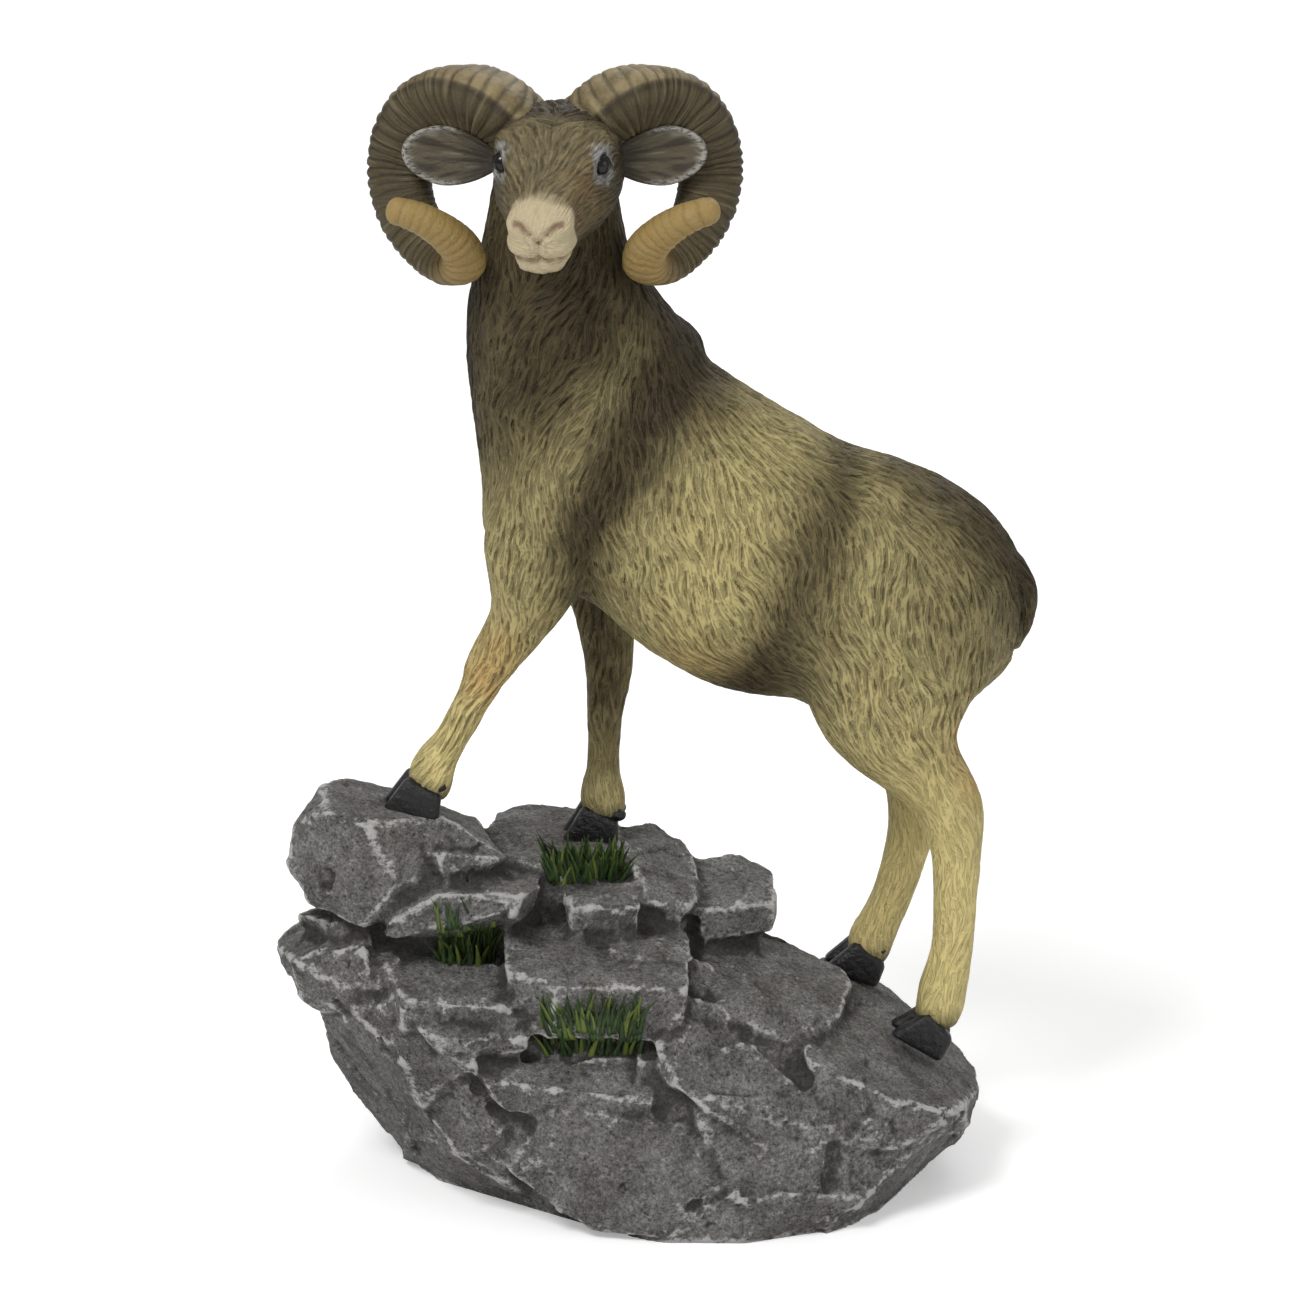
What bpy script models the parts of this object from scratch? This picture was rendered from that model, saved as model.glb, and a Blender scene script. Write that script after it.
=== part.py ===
"""Bighorn ram figurine: a ram with curled horns standing on a rocky ledge, cast in one piece.

The frame is the figurine's own: +Z is up, the ram faces -X and turns its head to look along -Y,
and the origin is the middle of the underside. Tables give places in millimetres, and MM turns
them into metres when a mesh is made.
"""
import math

import bmesh
import bpy
from mathutils import Matrix, Vector

MM = 0.001

# Driving sizes of the ram, in millimetres.
body_half_width = 19.5
neck_half_depth = 15.5
shoulder_half_thickness = 7.5
thigh_half_thickness = 10.0
fore_cannon_radius = 3.1
hind_cannon_radius = 3.8
tail_radius = 4.0
tail_length = 16.0
head_half_width = 10.7
muzzle_half_width = 5.6
eye_radius = 1.7
withers_crest_height = 7.0
withers_crest_place = (-2.0, 5.0, 150.0)
withers_crest_length = 9.0
withers_crest_width = 6.0
eye_place = (17.2, 8.5, 2.7)
leg_seat_share = 0.35
leg_cannon_share = 0.45

# Driving sizes of the horns and ears.
horn_root_radius = 6.5
horn_side_radius = 5.0
horn_tip_radius = 2.0
horn_ridge_depth = 0.42
horn_ridge_count = 28
horn_keel = 0.09
horn_keel_lean = 0.95
horn_bend_share = 0.45
ear_length = 17.0
ear_width = 9.6
ear_thickness = 3.0
ear_cup_depth = 1.1
ear_root = (9.0, -5.0, 184.2)
ear_sweep = 0.16
ear_droop = 0.02
ear_taper = 0.35

# Driving sizes of the hoofs.
hoof_length = 10.2
hoof_width = 9.0
hoof_height = 6.8
heel_height = 4.4
hoof_cleft = 0.6
hoof_sink = 0.6
hoof_front_slope = 0.36
hoof_top_share = 0.9
hoof_toe_share = 0.85
hoof_edge_round = 0.7
toe_splay = 0.06

# Driving sizes of the rocks.
rock_chamfer = 1.0
worn_edge_angle = math.radians(34)
underside_cut_depth = 8.0
underside_cut_width = 300.0
ray_start_height = 300.0
sole_reach_share = 0.42

# How finely the shapes are divided.
body_voxel = 0.8
body_smoothing = 14
body_triangles = 3900
ring_sides = 20
horn_sides = 12

UP = Vector((0, 0, 1))
FORWARD = Vector((-1, 0, 0))
head_middle_x = -16.2

# The trunk from rump to chest: x, top z, bottom z, share of the body's half width.
trunk_rows = [
    (66.0, 108.0, 101.0, 0.12),
    (64.5, 112.0, 98.0, 0.26),
    (62.0, 117.0, 93.0, 0.46),
    (57.0, 122.6, 88.5, 0.67),
    (51.0, 126.7, 84.0, 0.79),
    (43.0, 130.2, 82.0, 0.87),
    (34.0, 132.9, 83.0, 0.90),
    (26.0, 137.4, 87.6, 0.90),
    (17.0, 142.9, 88.8, 0.97),
    (8.5, 148.4, 91.5, 1.00),
    (-2.0, 152.0, 98.0, 0.95),
    (-9.0, 152.0, 104.5, 0.85),
    (-16.0, 150.0, 108.0, 0.74),
    (-23.0, 142.0, 111.5, 0.62),
    (-27.0, 134.0, 115.0, 0.44),
    (-29.0, 127.0, 118.5, 0.20),
]

# The neck upwards: z, middle x, half length fore and aft, share of the neck's half depth.
neck_rows = [
    (117.0, -9.5, 13.0, 0.60),
    (124.5, -10.0, 18.4, 0.88),
    (132.7, -9.0, 20.8, 1.00),
    (141.0, -10.0, 20.8, 0.97),
    (150.0, -11.4, 20.2, 0.90),
    (159.0, -14.6, 16.6, 0.84),
    (167.0, -16.2, 13.0, 0.77),
    (175.0, -16.3, 11.2, 0.74),
    (182.0, -16.0, 10.0, 0.65),
    (188.0, -15.0, 7.0, 0.45),
]

# The head from poll to lips: distance along its axis, half width, height above, depth below.
poll = (-14.5, 2.0, 189.0)
lips = (-18.3, -31.0, 177.5)
head_rows = [
    (-2.0, 5.0, 3.0, 5.0),
    (0.0, 8.5, 6.0, 8.0),
    (4.0, 10.0, 8.0, 11.0),
    (9.0, 10.7, 8.7, 13.0),
    (13.0, 10.5, 7.9, 13.0),
    (17.0, 9.6, 6.7, 12.0),
    (21.0, 8.0, 5.8, 11.0),
    (25.0, 6.5, 5.0, 10.2),
    (29.0, 5.7, 4.5, 9.4),
    (32.0, 5.6, 4.1, 8.8),
    (34.5, 5.1, 3.2, 7.8),
    (36.0, 4.0, 2.0, 6.2),
    (36.9, 2.4, 0.8, 3.6),
]

# Where the skull's width hands over to the muzzle's, along the head's axis.
muzzle_start = 14.0
muzzle_end = 28.0

# The tail from its root on the rump: share of its length, how far it stands out, thickness.
tail_root = (60.5, -1.0, 113.0)
tail_side_lean = 1.5
tail_rows = [
    (0.0, 0.0, 0.7),
    (0.3, 2.2, 1.0),
    (0.6, 2.4, 0.95),
    (0.85, 1.2, 0.7),
    (1.0, 0.2, 0.3),
]

# Each leg downwards: x, y, z, half length fore and aft, half thickness.
near_foreleg_rows = [
    (-3.0, -6.0, 150.0, 4.0, 4.0),
    (-7.0, -9.0, 143.0, 9.0, 7.0),
    (-12.0, -11.0, 132.0, 11.0, 7.5),
    (-18.0, -11.5, 121.0, 10.5, 7.0),
    (-20.0, -10.5, 112.0, 8.3, 6.3),
    (-22.5, -9.5, 104.5, 5.6, 5.0),
    (-27.9, -9.0, 96.0, 4.2, 4.2),
    (-29.4, -9.0, 92.5, 3.5, 3.6),
    (-32.2, -9.0, 87.0, 3.1, 3.2),
    (-35.0, -9.0, 82.0, 3.1, 3.1),
    (-37.7, -9.0, 77.8, 3.9, 3.8),
    (-38.4, -9.0, 74.6, 4.1, 3.8),
    (-39.2, -9.0, 72.4, 3.6, 3.4),
]
far_foreleg_rows = [
    (-3.0, 6.0, 148.0, 4.0, 4.0),
    (-6.0, 9.0, 140.0, 9.0, 7.0),
    (-10.0, 10.0, 128.0, 10.0, 6.8),
    (-11.0, 9.5, 116.0, 8.5, 6.2),
    (-9.0, 8.5, 105.5, 6.2, 5.2),
    (-7.8, 8.0, 98.0, 5.2, 4.6),
    (-7.3, 8.0, 89.6, 4.3, 4.2),
    (-7.9, 8.0, 83.5, 3.5, 3.6),
    (-8.2, 8.0, 77.0, 3.0, 3.2),
    (-8.4, 8.0, 71.5, 3.1, 3.1),
    (-8.6, 8.0, 67.1, 4.1, 3.8),
    (-8.4, 8.0, 64.3, 4.2, 3.8),
    (-9.3, 8.0, 62.0, 3.6, 3.4),
]
near_hind_leg_rows = [
    (46.0, -2.0, 123.5, 5.0, 4.0),
    (46.0, -5.5, 118.5, 12.0, 8.5),
    (44.0, -9.0, 110.0, 16.5, 10.0),
    (43.0, -10.5, 100.0, 16.8, 9.0),
    (42.0, -11.0, 92.0, 15.3, 8.2),
    (43.4, -11.0, 85.0, 12.0, 7.0),
    (46.4, -10.5, 79.0, 8.0, 5.8),
    (50.5, -10.2, 74.0, 6.2, 4.9),
    (52.8, -10.0, 69.0, 5.6, 4.5),
    (53.4, -10.0, 62.0, 4.6, 4.0),
    (53.4, -10.0, 53.0, 4.0, 3.8),
    (53.0, -10.0, 44.0, 3.8, 3.8),
    (51.6, -10.0, 37.0, 4.4, 4.1),
    (51.0, -10.0, 33.2, 4.4, 4.0),
    (50.0, -10.0, 30.2, 4.0, 3.7),
]
far_hind_leg_rows = [
    (46.0, 2.0, 122.5, 5.0, 4.0),
    (45.0, 5.0, 117.5, 12.0, 8.5),
    (43.5, 9.0, 106.0, 15.0, 9.0),
    (42.0, 10.0, 92.0, 13.5, 7.5),
    (43.5, 10.0, 80.0, 8.8, 6.0),
    (46.2, 9.8, 71.5, 6.2, 4.9),
    (47.2, 9.8, 65.5, 5.2, 4.4),
    (46.3, 10.0, 57.5, 4.3, 3.9),
    (43.8, 10.0, 48.0, 3.8, 3.8),
    (41.4, 10.0, 42.0, 3.9, 3.8),
    (39.8, 10.0, 38.6, 4.3, 4.0),
    (39.2, 10.0, 36.2, 4.1, 3.8),
    (38.2, 10.0, 34.2, 3.6, 3.5),
]

# Where each hoof stands: middle x, y, and the height its leg's table was taken at.
hoof_places = {
    "near_fore": (-41.9, -9.0, 70.2),
    "far_fore": (-10.9, 8.0, 58.8),
    "near_hind": (46.8, -10.0, 27.2),
    "far_hind": (36.0, 10.0, 32.5),
}

# The horn's centre line from root to tip: distance from the head's middle, y, z.
horn_line = [
    (4.6, -1.5, 187.0),
    (8.4, -3.2, 191.8),
    (12.6, -2.6, 194.2),
    (17.2, 0.0, 193.9),
    (21.5, 2.0, 191.6),
    (24.6, 3.0, 187.5),
    (26.0, 4.0, 182.0),
    (25.8, 3.0, 177.0),
    (24.2, 1.0, 172.4),
    (21.1, -2.0, 168.7),
    (17.8, -6.0, 166.8),
    (15.4, -10.0, 167.9),
    (15.5, -13.0, 171.0),
    (18.0, -15.5, 174.2),
    (21.2, -17.0, 176.6),
    (24.1, -17.5, 177.9),
    (26.0, -17.5, 178.4),
]

# The rocks seen from the front, as the corners of each broken block.
front_rocks = {
    "corner_boulder": [
        (-58, -4, 73), (-56, 8, 69.5), (-46, 9, 67.5), (-30, 5, 63), (-25.5, -12, 63),
        (-47, -13, 72), (-36, -12, 69.8), (-37, 2, 67), (-41, -18.5, 65.5), (-49, -20, 71),
        (-56, -18, 73), (-44, -21, 59.5), (-50, -21, 51),
        (-59.5, -16, 54), (-64, -12, 60), (-62.5, -12, 68), (-63, 2, 58), (-50, 14, 52),
        (-30, 8, 52),
    ],
    "boulder_spur": [
        (-38, -19, 65.5), (-31.5, -8, 64), (-24, -8, 61.5), (-23.5, -14, 62.5),
        (-36.5, -20, 60.5), (-30, -8, 55),
    ],
    "upper_slab": [
        (-39.5, -14, 58.5), (-25.5, -6, 58.5), (-19.5, -6, 57.5), (-18, -14, 57.5),
        (-21.5, -20, 58), (-36.5, -23, 59.5), (-47.5, -24, 53), (-46.5, -24, 50.5),
        (-23.5, -22, 54.5), (-22, -8, 47), (-42, -12, 47),
    ],
    "left_shelf": [
        (-67.2, -4, 43), (-62, 2, 46), (-50, -8, 47.5), (-49.5, -20, 49), (-64, -16, 44.5),
        (-61.5, -14, 35), (-57.5, -16, 33), (-47, -23, 38), (-60, 4, 36), (-45, 0, 36),
    ],
    "left_flank": [
        (-58.5, -6, 29), (-59, -12, 34.5), (-53.5, -20, 37.5), (-45, -26, 40.5),
        (-57.5, -2, 19), (-43.5, -28, 30.5), (-29.5, -32, 31.5), (-54, 0, 12.5),
        (-45, 0, -1), (-40, -26, 20), (-34, -12, -1), (-40, 6, 30),
    ],
    "middle_left_block": [
        (-47, -18, 45.5), (-44, -14, 46), (-26, -16, 44), (-24.5, -29, 40.5), (-43, -29.5, 42),
        (-43.5, -28.5, 35), (-26, -28.5, 37.5), (-46.5, -22, 40), (-34, -12, 34),
    ],
    "left_ledge": [
        (-42.5, -28, 38), (-24.5, -26, 37.5), (-20, -30, 35), (-36.5, -32.5, 35.5),
        (-36.5, -31, 31.5), (-21, -29.5, 32), (-32, -20, 30),
    ],
    "centre_block": [
        (-26, -14, 49), (-18.5, -10, 49.5), (-9.5, -10, 48), (7, -14, 45), (7, -26, 43),
        (-2, -29, 44), (-15.5, -30, 45), (-25.5, -26, 46), (-18, -29.5, 34), (-24.5, -26, 38.5),
        (5, -27, 33), (-10, -12, 32),
    ],
    "middle_right_block": [
        (-8, -6, 48), (7, -8, 47.5), (8.5, -16, 44), (-2, -20.5, 45.8), (-8, -19, 47.8),
        (0, -10, 38),
    ],
    "small_step": [
        (-17, -4, 54.8), (-2, -4, 54.5), (-1, -14, 53.5), (-14, -16.5, 54.5), (-14, -15.5, 49),
        (-2, -13, 46),
    ],
    "centre_top": [
        (-30, 6, 61), (-28.5, 19, 59.5), (-21.5, 24, 59.5), (-14, 23, 59), (-5, 16, 58.5),
        (-4.5, 1, 58.8), (-26.5, -4.5, 59.5), (-16, -9, 57.5), (-27, -2, 50), (-8, -4, 50),
        (-16, 22, 48),
    ],
    "right_top": [
        (-4.5, 16, 58), (0.5, 21, 57), (7, 16, 54.5), (8.5, 6, 54.5), (8.5, -8.5, 51.5),
        (-2, -10.5, 53), (-4.5, 2, 58), (-2, -8, 44), (8, 14, 44),
    ],
    "right_slab": [
        (7.5, 14, 52.5), (16.5, 16, 52.8), (22.5, 12, 50.5), (22.5, -2.5, 49.8), (8.2, -6.5, 50.2),
        (22.3, -2, 43), (8.5, -5.5, 43), (16, 14, 42),
    ],
    "right_boulder": [
        (11.5, 4, 42), (17, 9, 41), (24, 11, 38.5), (35, 6, 34.5), (36, -2, 34),
        (34, -13.5, 33), (27.5, -22.5, 29.5), (16.5, -22.5, 35), (9.5, -16.5, 40), (8, -6, 41.5),
        (24.5, -22.5, 26.5), (9.5, -16.5, 34), (33, 2, 24),
    ],
    "right_shelf": [
        (30, 14, 34.5), (36, 14, 32.8), (42.5, 17, 27), (54.5, 16, 17), (59.5, 8, 13.5), (59.5, -4, 15),
        (54, -24, 19), (43, -30, 23.5), (37, -30, 26.5), (26, -27, 31), (31, -29, 29),
        (57.5, -10, 9.5), (43.5, -30.5, 14), (33, -32.5, 14), (28, 10, 20),
    ],
    "right_foot": [
        (33, -32.5, 17), (49, -26.5, 15.5), (57.5, -2, 6), (49.5, -4, -1.5), (43, -18, -3),
        (36, -30, -1.5), (29.5, -35, -1), (54, 10, 8), (40, 6, -2),
    ],
    "leaning_block": [
        (7, -25, 37), (14.5, -23, 34.5), (24.5, -27.5, 26.5), (31.5, -30, 22), (32, -34, 17.5),
        (20.5, -37, 16), (5, -35, 27), (1, -31, 27.5), (0, -28, 34.5), (22, -20, 16),
    ],
    "leaning_foot": [
        (20.5, -36.5, 16.5), (32, -34.5, 18), (30, -35.5, 9), (12, -37.5, 9), (8.5, -35, 22),
        (5, -33, 27), (18, -22, 8),
    ],
    "low_centre_block": [
        (-19, -34, 23), (-8.5, -35.5, 24), (7, -34, 21.5), (13, -38, 10), (1.5, -38.5, 0.5),
        (-10.5, -36.5, 1), (-26, -31.5, 11), (-14, -20, 3),
    ],
    "step_block": [
        (-32, -29, 30), (-15.5, -27, 30), (0, -27, 28.8), (1.5, -34, 25), (-16.5, -34.5, 27.5),
        (-29.5, -33.5, 29), (-26, -33.5, 22), (0, -34.5, 21.5), (-14, -20, 20),
    ],
    "low_left_block": [
        (-42, -24, 22), (-31.5, -30.5, 27), (-26, -32.5, 20), (-34, -27, 12), (-32, -14, -1),
        (-20.5, -19, -1), (-46, -2, 0), (-24, -29, 6),
    ],
    "right_toe": [
        (8.5, -38, 8.5), (26, -37.5, 9.5), (38, -33.5, 7.5), (36, -31, -1.5), (15.5, -38.5, -1),
        (1.5, -38, -1), (-6, -34, -1), (20, -20, 3),
    ],
}

# The rocks at the back, stepped down from the ledge in the same broken blocks.
back_rocks = {
    "back_upper_left": [
        (-57, 6, 62), (-46, 4, 63), (-33, 10, 60), (-31, 24, 55), (-44, 27, 54), (-56, 20, 55),
        (-58, 8, 44), (-34, 28, 40), (-50, 26, 40),
    ],
    "back_left_step": [
        (-61, 0, 42), (-59, 18, 40), (-46, 31, 38), (-30, 32, 36), (-55, 12, 14), (-42, 26, 12),
        (-28, 24, 14), (-34, 2, 20), (-48, 0, 8),
    ],
    "back_left_foot": [
        (-50, 2, 20), (-46, 26, 19), (-30, 36, 20), (-12, 37, 18), (-44, 10, -1), (-30, 30, -1),
        (-14, 34, -1), (-20, 4, -1),
    ],
    "back_centre": [
        (-33, 12, 54), (-24, 16, 56), (-4, 17, 54), (-2, 30, 48), (-18, 34, 47), (-31, 30, 49),
        (-30, 34, 26), (-4, 34, 26), (-16, 12, 20),
    ],
    "back_centre_foot": [
        (-20, 20, 32), (4, 22, 33), (16, 30, 28), (2, 37.5, 26), (-16, 37, 27), (-18, 38, 5),
        (10, 38.5, 5), (18, 30, -1), (-10, 34, -1), (0, 10, -1),
    ],
    "back_right_top": [
        (-2, 14, 53), (12, 14, 49), (22, 12, 46), (22, 26, 41), (8, 31, 42), (-2, 28, 45),
        (20, 30, 24), (0, 32, 26), (14, 6, 20),
    ],
    "back_right_step": [
        (12, 10, 38), (28, 10, 35), (38, 15, 29), (37, 27, 24), (20, 34, 26), (12, 30, 28),
        (38, 28, 8), (16, 36, 8), (24, 6, 4),
    ],
    "back_right_foot": [
        (32, 8, 24), (46, 14, 19), (55, 15, 13.5), (50, 26, 9), (34, 33, 12), (18, 36, 13),
        (50, 20, -1), (34, 32, -1), (14, 34, -1), (20, 0, -1), (50, 0, -1),
    ],
}

# The core that the blocks are set into: its lower mass and the step that it makes at the top.
lower_core_corners = [
    (-46, 6, 0), (-38, -11, 0), (-22, -20, 0), (-10, -31, 0), (26, -32, 0), (40, -25, 0),
    (50, -4, 0), (49, 12, 0), (34, 29, 0), (-12, 33, 0), (-34, 25, 0),
    (-54, -6, 36), (-53, 12, 37), (-44, -15, 41), (-41, -21, 35), (-26, -24, 36),
    (-23, -28, 22), (-2, -23.5, 37), (-8, -30.5, 20), (6, -19.5, 37), (18, -23.5, 28),
    (20, -31.5, 13), (31, -25, 19), (42, -23, 14), (52, -5, 12), (50, 12, 13), (20, -4, 34),
    (30, 2, 28), (28, 18, 28), (-20, -11, 44), (0, -11, 43), (10, 12, 42), (-20, 20, 45),
    (-42, 14, 44), (-28, 30, 38), (4, 30, 34),
]
upper_core_corners = [
    (-54, 8, 60), (-57, -8, 60), (-43, -14, 60), (-28, -8, 58.5), (-20, -5, 55), (-6, -1, 55),
    (-6, 16, 55), (-26, 20, 56), (-46, 22, 52), (7, 8, 50.5), (8, 20, 46), (20, 8, 47),
    (20, 0, 46), (20, 0, 34), (-57, -8, 48), (-44, -17, 48), (-30, -10, 38), (-6, -6, 38),
    (-40, 20, 34), (10, 20, 30),
]


def smooth_rows(rows, steps):
    """Rows read off a smooth curve through the given rows, with the given steps to a row."""
    result = []
    last = len(rows) - 1
    for index in range(last):
        a = rows[max(index - 1, 0)]
        b = rows[index]
        c = rows[index + 1]
        d = rows[min(index + 2, last)]
        for step in range(steps):
            t = step / steps
            row = []
            for p, q, r, s in zip(a, b, c, d):
                bend = (r - p) * t + (2 * p - 5 * q + 4 * r - s) * t ** 2
                bend += (3 * q - p - 3 * r + s) * t ** 3
                row.append(q + 0.5 * bend)
            result.append(tuple(row))
    result.append(tuple(rows[last]))
    return result


def new_object(name, mesh_builder):
    """An object at the origin that holds the finished bmesh."""
    mesh = bpy.data.meshes.new(name)
    bmesh.ops.recalc_face_normals(mesh_builder, faces=mesh_builder.faces)
    mesh_builder.to_mesh(mesh)
    mesh_builder.free()
    obj = bpy.data.objects.new(name, mesh)
    bpy.context.scene.collection.objects.link(obj)
    return obj


def loft(name, rings):
    """A closed skin over rings of points that all have the same number of sides."""
    shape = bmesh.new()
    skin = [[shape.verts.new(point * MM) for point in ring] for ring in rings]
    for lower, upper in zip(skin, skin[1:]):
        for index in range(len(lower)):
            after = (index + 1) % len(lower)
            shape.faces.new((lower[index], lower[after], upper[after], upper[index]))
    shape.faces.new(skin[0])
    shape.faces.new(skin[-1])
    return new_object(name, shape)


def section_ring(centre, along, above, half_side, half_above, half_below, squareness=2.2):
    """One cross-section: a rounded oval square to the direction along, in millimetres."""
    upward = (above - along * above.dot(along)).normalized()
    sideways = along.cross(upward)
    ring = []
    for index in range(ring_sides):
        turn = 2 * math.pi * index / ring_sides
        across = math.copysign(abs(math.cos(turn)) ** (2 / squareness), math.cos(turn))
        rise = math.copysign(abs(math.sin(turn)) ** (2 / squareness), math.sin(turn))
        height = half_above if rise > 0 else half_below
        ring.append(centre + sideways * half_side * across + upward * height * rise)
    return ring


def path_directions(points):
    """The direction of travel at each point of a path."""
    last = len(points) - 1
    ahead = [points[min(i + 1, last)] - points[max(i - 1, 0)] for i in range(last + 1)]
    return [step.normalized() for step in ahead]


def make_trunk():
    """The barrel of the body, from the rump to the breast."""
    rings = []
    for x, top, bottom, share in smooth_rows(trunk_rows, 3):
        centre = Vector((x, 0, (top + bottom) / 2))
        half_height = (top - bottom) / 2
        half_width = share * body_half_width
        rings.append(section_ring(centre, FORWARD, UP, half_width, half_height, half_height))
    return loft("trunk", rings)


def make_neck():
    """The thick neck, which leans a little forward and carries the head."""
    rings = []
    for z, x, half_length, share in smooth_rows(neck_rows, 3):
        half_depth = share * neck_half_depth
        centre = Vector((x, 0, z))
        rings.append(section_ring(centre, UP, FORWARD, half_depth, half_length, half_length))
    return loft("neck", rings)


def head_frame():
    """The head's origin, its forward, sideways and upward directions."""
    start = Vector(poll)
    forward = (Vector(lips) - start).normalized()
    upward = (UP - forward * UP.dot(forward)).normalized()
    return start, forward, forward.cross(upward), upward


def head_point(forward_distance, side_distance, rise):
    """A point given along, beside and above the head's axis."""
    start, forward, sideways, upward = head_frame()
    return start + forward * forward_distance + sideways * side_distance + upward * rise


def make_head():
    """The skull and muzzle; its width runs between the two driving widths."""
    start, forward, sideways, upward = head_frame()
    rings = []
    widest = max(row[1] for row in head_rows)
    skull_scale = head_half_width / widest
    muzzle_scale = muzzle_half_width / head_rows[-4][1]
    for distance, width, rise, drop in smooth_rows(head_rows, 3):
        muzzle_share = (distance - muzzle_start) / (muzzle_end - muzzle_start)
        muzzle_share = min(max(muzzle_share, 0.0), 1.0)
        scale = skull_scale + (muzzle_scale - skull_scale) * muzzle_share
        centre = start + forward * distance
        rings.append(section_ring(centre, forward, UP, width * scale, rise, drop, 2.5))
    return loft("head", rings)


def make_leg(name, rows, seat_shift, thickness_scale, cannon_scale):
    """A leg along its table; its lower part moves with the rock that it stands on."""
    top_z = rows[0][2]
    foot_z = rows[-1][2]
    moved = []
    for x, y, z, half_length, half_side in rows:
        down = (top_z - z) / (top_z - foot_z)
        shift = seat_shift * max(0.0, (down - leg_seat_share) / (1.0 - leg_seat_share))
        upper = down < leg_cannon_share
        length_scale = 1.0 if upper else cannon_scale
        side_scale = thickness_scale if upper else cannon_scale
        moved.append((x, y, z + shift, half_length * length_scale, half_side * side_scale))
    smooth = smooth_rows(moved, 3)
    points = [Vector(row[:3]) for row in smooth]
    rings = []
    for point, along, row in zip(points, path_directions(points), smooth):
        rings.append(section_ring(point, along, FORWARD, row[4], row[3], row[3], 2.0))
    return loft(name, rings)


def make_tail():
    """The short tail that hangs against the rump."""
    x, y, z = tail_root
    rows = []
    for share, out, thickness in tail_rows:
        rows.append((x + out, y - tail_side_lean * share, z - share * tail_length, thickness))
    smooth = smooth_rows(rows, 3)
    points = [Vector(row[:3]) for row in smooth]
    rings = []
    for point, along, row in zip(points, path_directions(points), smooth):
        radius = row[3] * tail_radius
        rings.append(section_ring(point, along, FORWARD, radius, radius, radius, 2.0))
    return loft("tail", rings)


def make_bump(name, centre, radii, segments=16):
    """A rounded swelling, such as a muscle or an eye."""
    shape = bmesh.new()
    place = Matrix.Translation(centre * MM) @ Matrix.Diagonal(Vector(radii) * MM).to_4x4()
    bmesh.ops.create_uvsphere(shape, u_segments=segments, v_segments=segments // 2, radius=1, matrix=place)
    return new_object(name, shape)


def horn_radius(share):
    """The horn's radius at a share of its length, between the three driving radii."""
    if share < horn_bend_share:
        part = share / horn_bend_share
        return horn_root_radius + (horn_side_radius - horn_root_radius) * part ** 0.8
    part = (share - horn_bend_share) / (1.0 - horn_bend_share)
    return horn_side_radius + (horn_tip_radius - horn_side_radius) * part ** 1.15


def make_horn(name, side):
    """One horn: a keeled section swept round the curl, with a ridge for each year ring."""
    rings_per_ridge = 2
    ring_count = horn_ridge_count * rings_per_ridge
    fine = [Vector(row) for row in smooth_rows(horn_line, 24)]
    lengths = [0.0]
    for before, after in zip(fine, fine[1:]):
        lengths.append(lengths[-1] + (after - before).length)
    points = []
    for index in range(ring_count + 1):
        wanted = lengths[-1] * index / ring_count
        nearest = min(range(len(fine)), key=lambda i: abs(lengths[i] - wanted))
        point = fine[nearest]
        points.append(Vector((head_middle_x + side * point.x, point.y, point.z)))
    directions = path_directions(points)
    forward = Vector((0, -1, 0.1)).normalized()
    rings = []
    for index, (point, along) in enumerate(zip(points, directions)):
        share = index / ring_count
        forward = (forward - along * forward.dot(along)).normalized()
        outward = along.cross(forward) * side
        lean = horn_keel_lean * min(share / 0.3, 1.0)
        keel = forward * math.cos(lean) - outward * math.sin(lean)
        beside = along.cross(keel)
        ridge_fade = 1.0 - max(0.0, (share - 0.75) / 0.25)
        ridge = horn_ridge_depth * ridge_fade * (1.0 if index % rings_per_ridge else -1.0)
        ring = []
        for corner in range(horn_sides):
            turn = 2 * math.pi * corner / horn_sides
            keeled = 1.0 + horn_keel * math.cos(3 * turn) * (1.0 - share)
            front = 0.65 + 0.35 * math.cos(turn)
            radius = horn_radius(share) * keeled + 0.5 * ridge * front
            ring.append(point + keel * radius * math.cos(turn) + beside * radius * math.sin(turn))
        rings.append(ring)
    tip = points[-1] + directions[-1] * horn_tip_radius * 0.7
    rings.append([tip + (corner - points[-1]) * 0.45 for corner in rings[-1]])
    return loft(name, rings)


def make_ear(name, side):
    """One ear: a leaf-shaped cup that lies inside the curl of its horn."""
    base = Vector((head_middle_x + side * ear_root[0], ear_root[1], ear_root[2]))
    tip_direction = Vector((side, ear_sweep, -ear_droop)).normalized()
    shape = bmesh.new()
    on_side = Matrix.Rotation(math.pi / 2, 4, "Y")
    bmesh.ops.create_uvsphere(shape, u_segments=16, v_segments=10, radius=1, matrix=on_side)
    for vert in shape.verts:
        along, across, rise = vert.co
        spread = math.hypot(along, rise)
        if across < 0:
            across += 2 * ear_cup_depth / ear_thickness * max(0.0, 1.0 - spread * spread)
        taper = 1.0 - ear_taper * max(0.0, along) ** 2
        place = Vector((along * ear_length / 2, across * ear_thickness / 2, rise * taper * ear_width / 2))
        vert.co = place
    reach = tip_direction * ear_length / 2
    forward = Vector((-tip_direction.y, tip_direction.x, 0)) * side
    turn = Matrix((tip_direction, forward, UP)).transposed().to_4x4()
    move = Matrix.Translation(base + reach)
    bmesh.ops.transform(shape, matrix=Matrix.Scale(MM, 4) @ move @ turn, verts=shape.verts)
    return new_object(name, shape)


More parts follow.
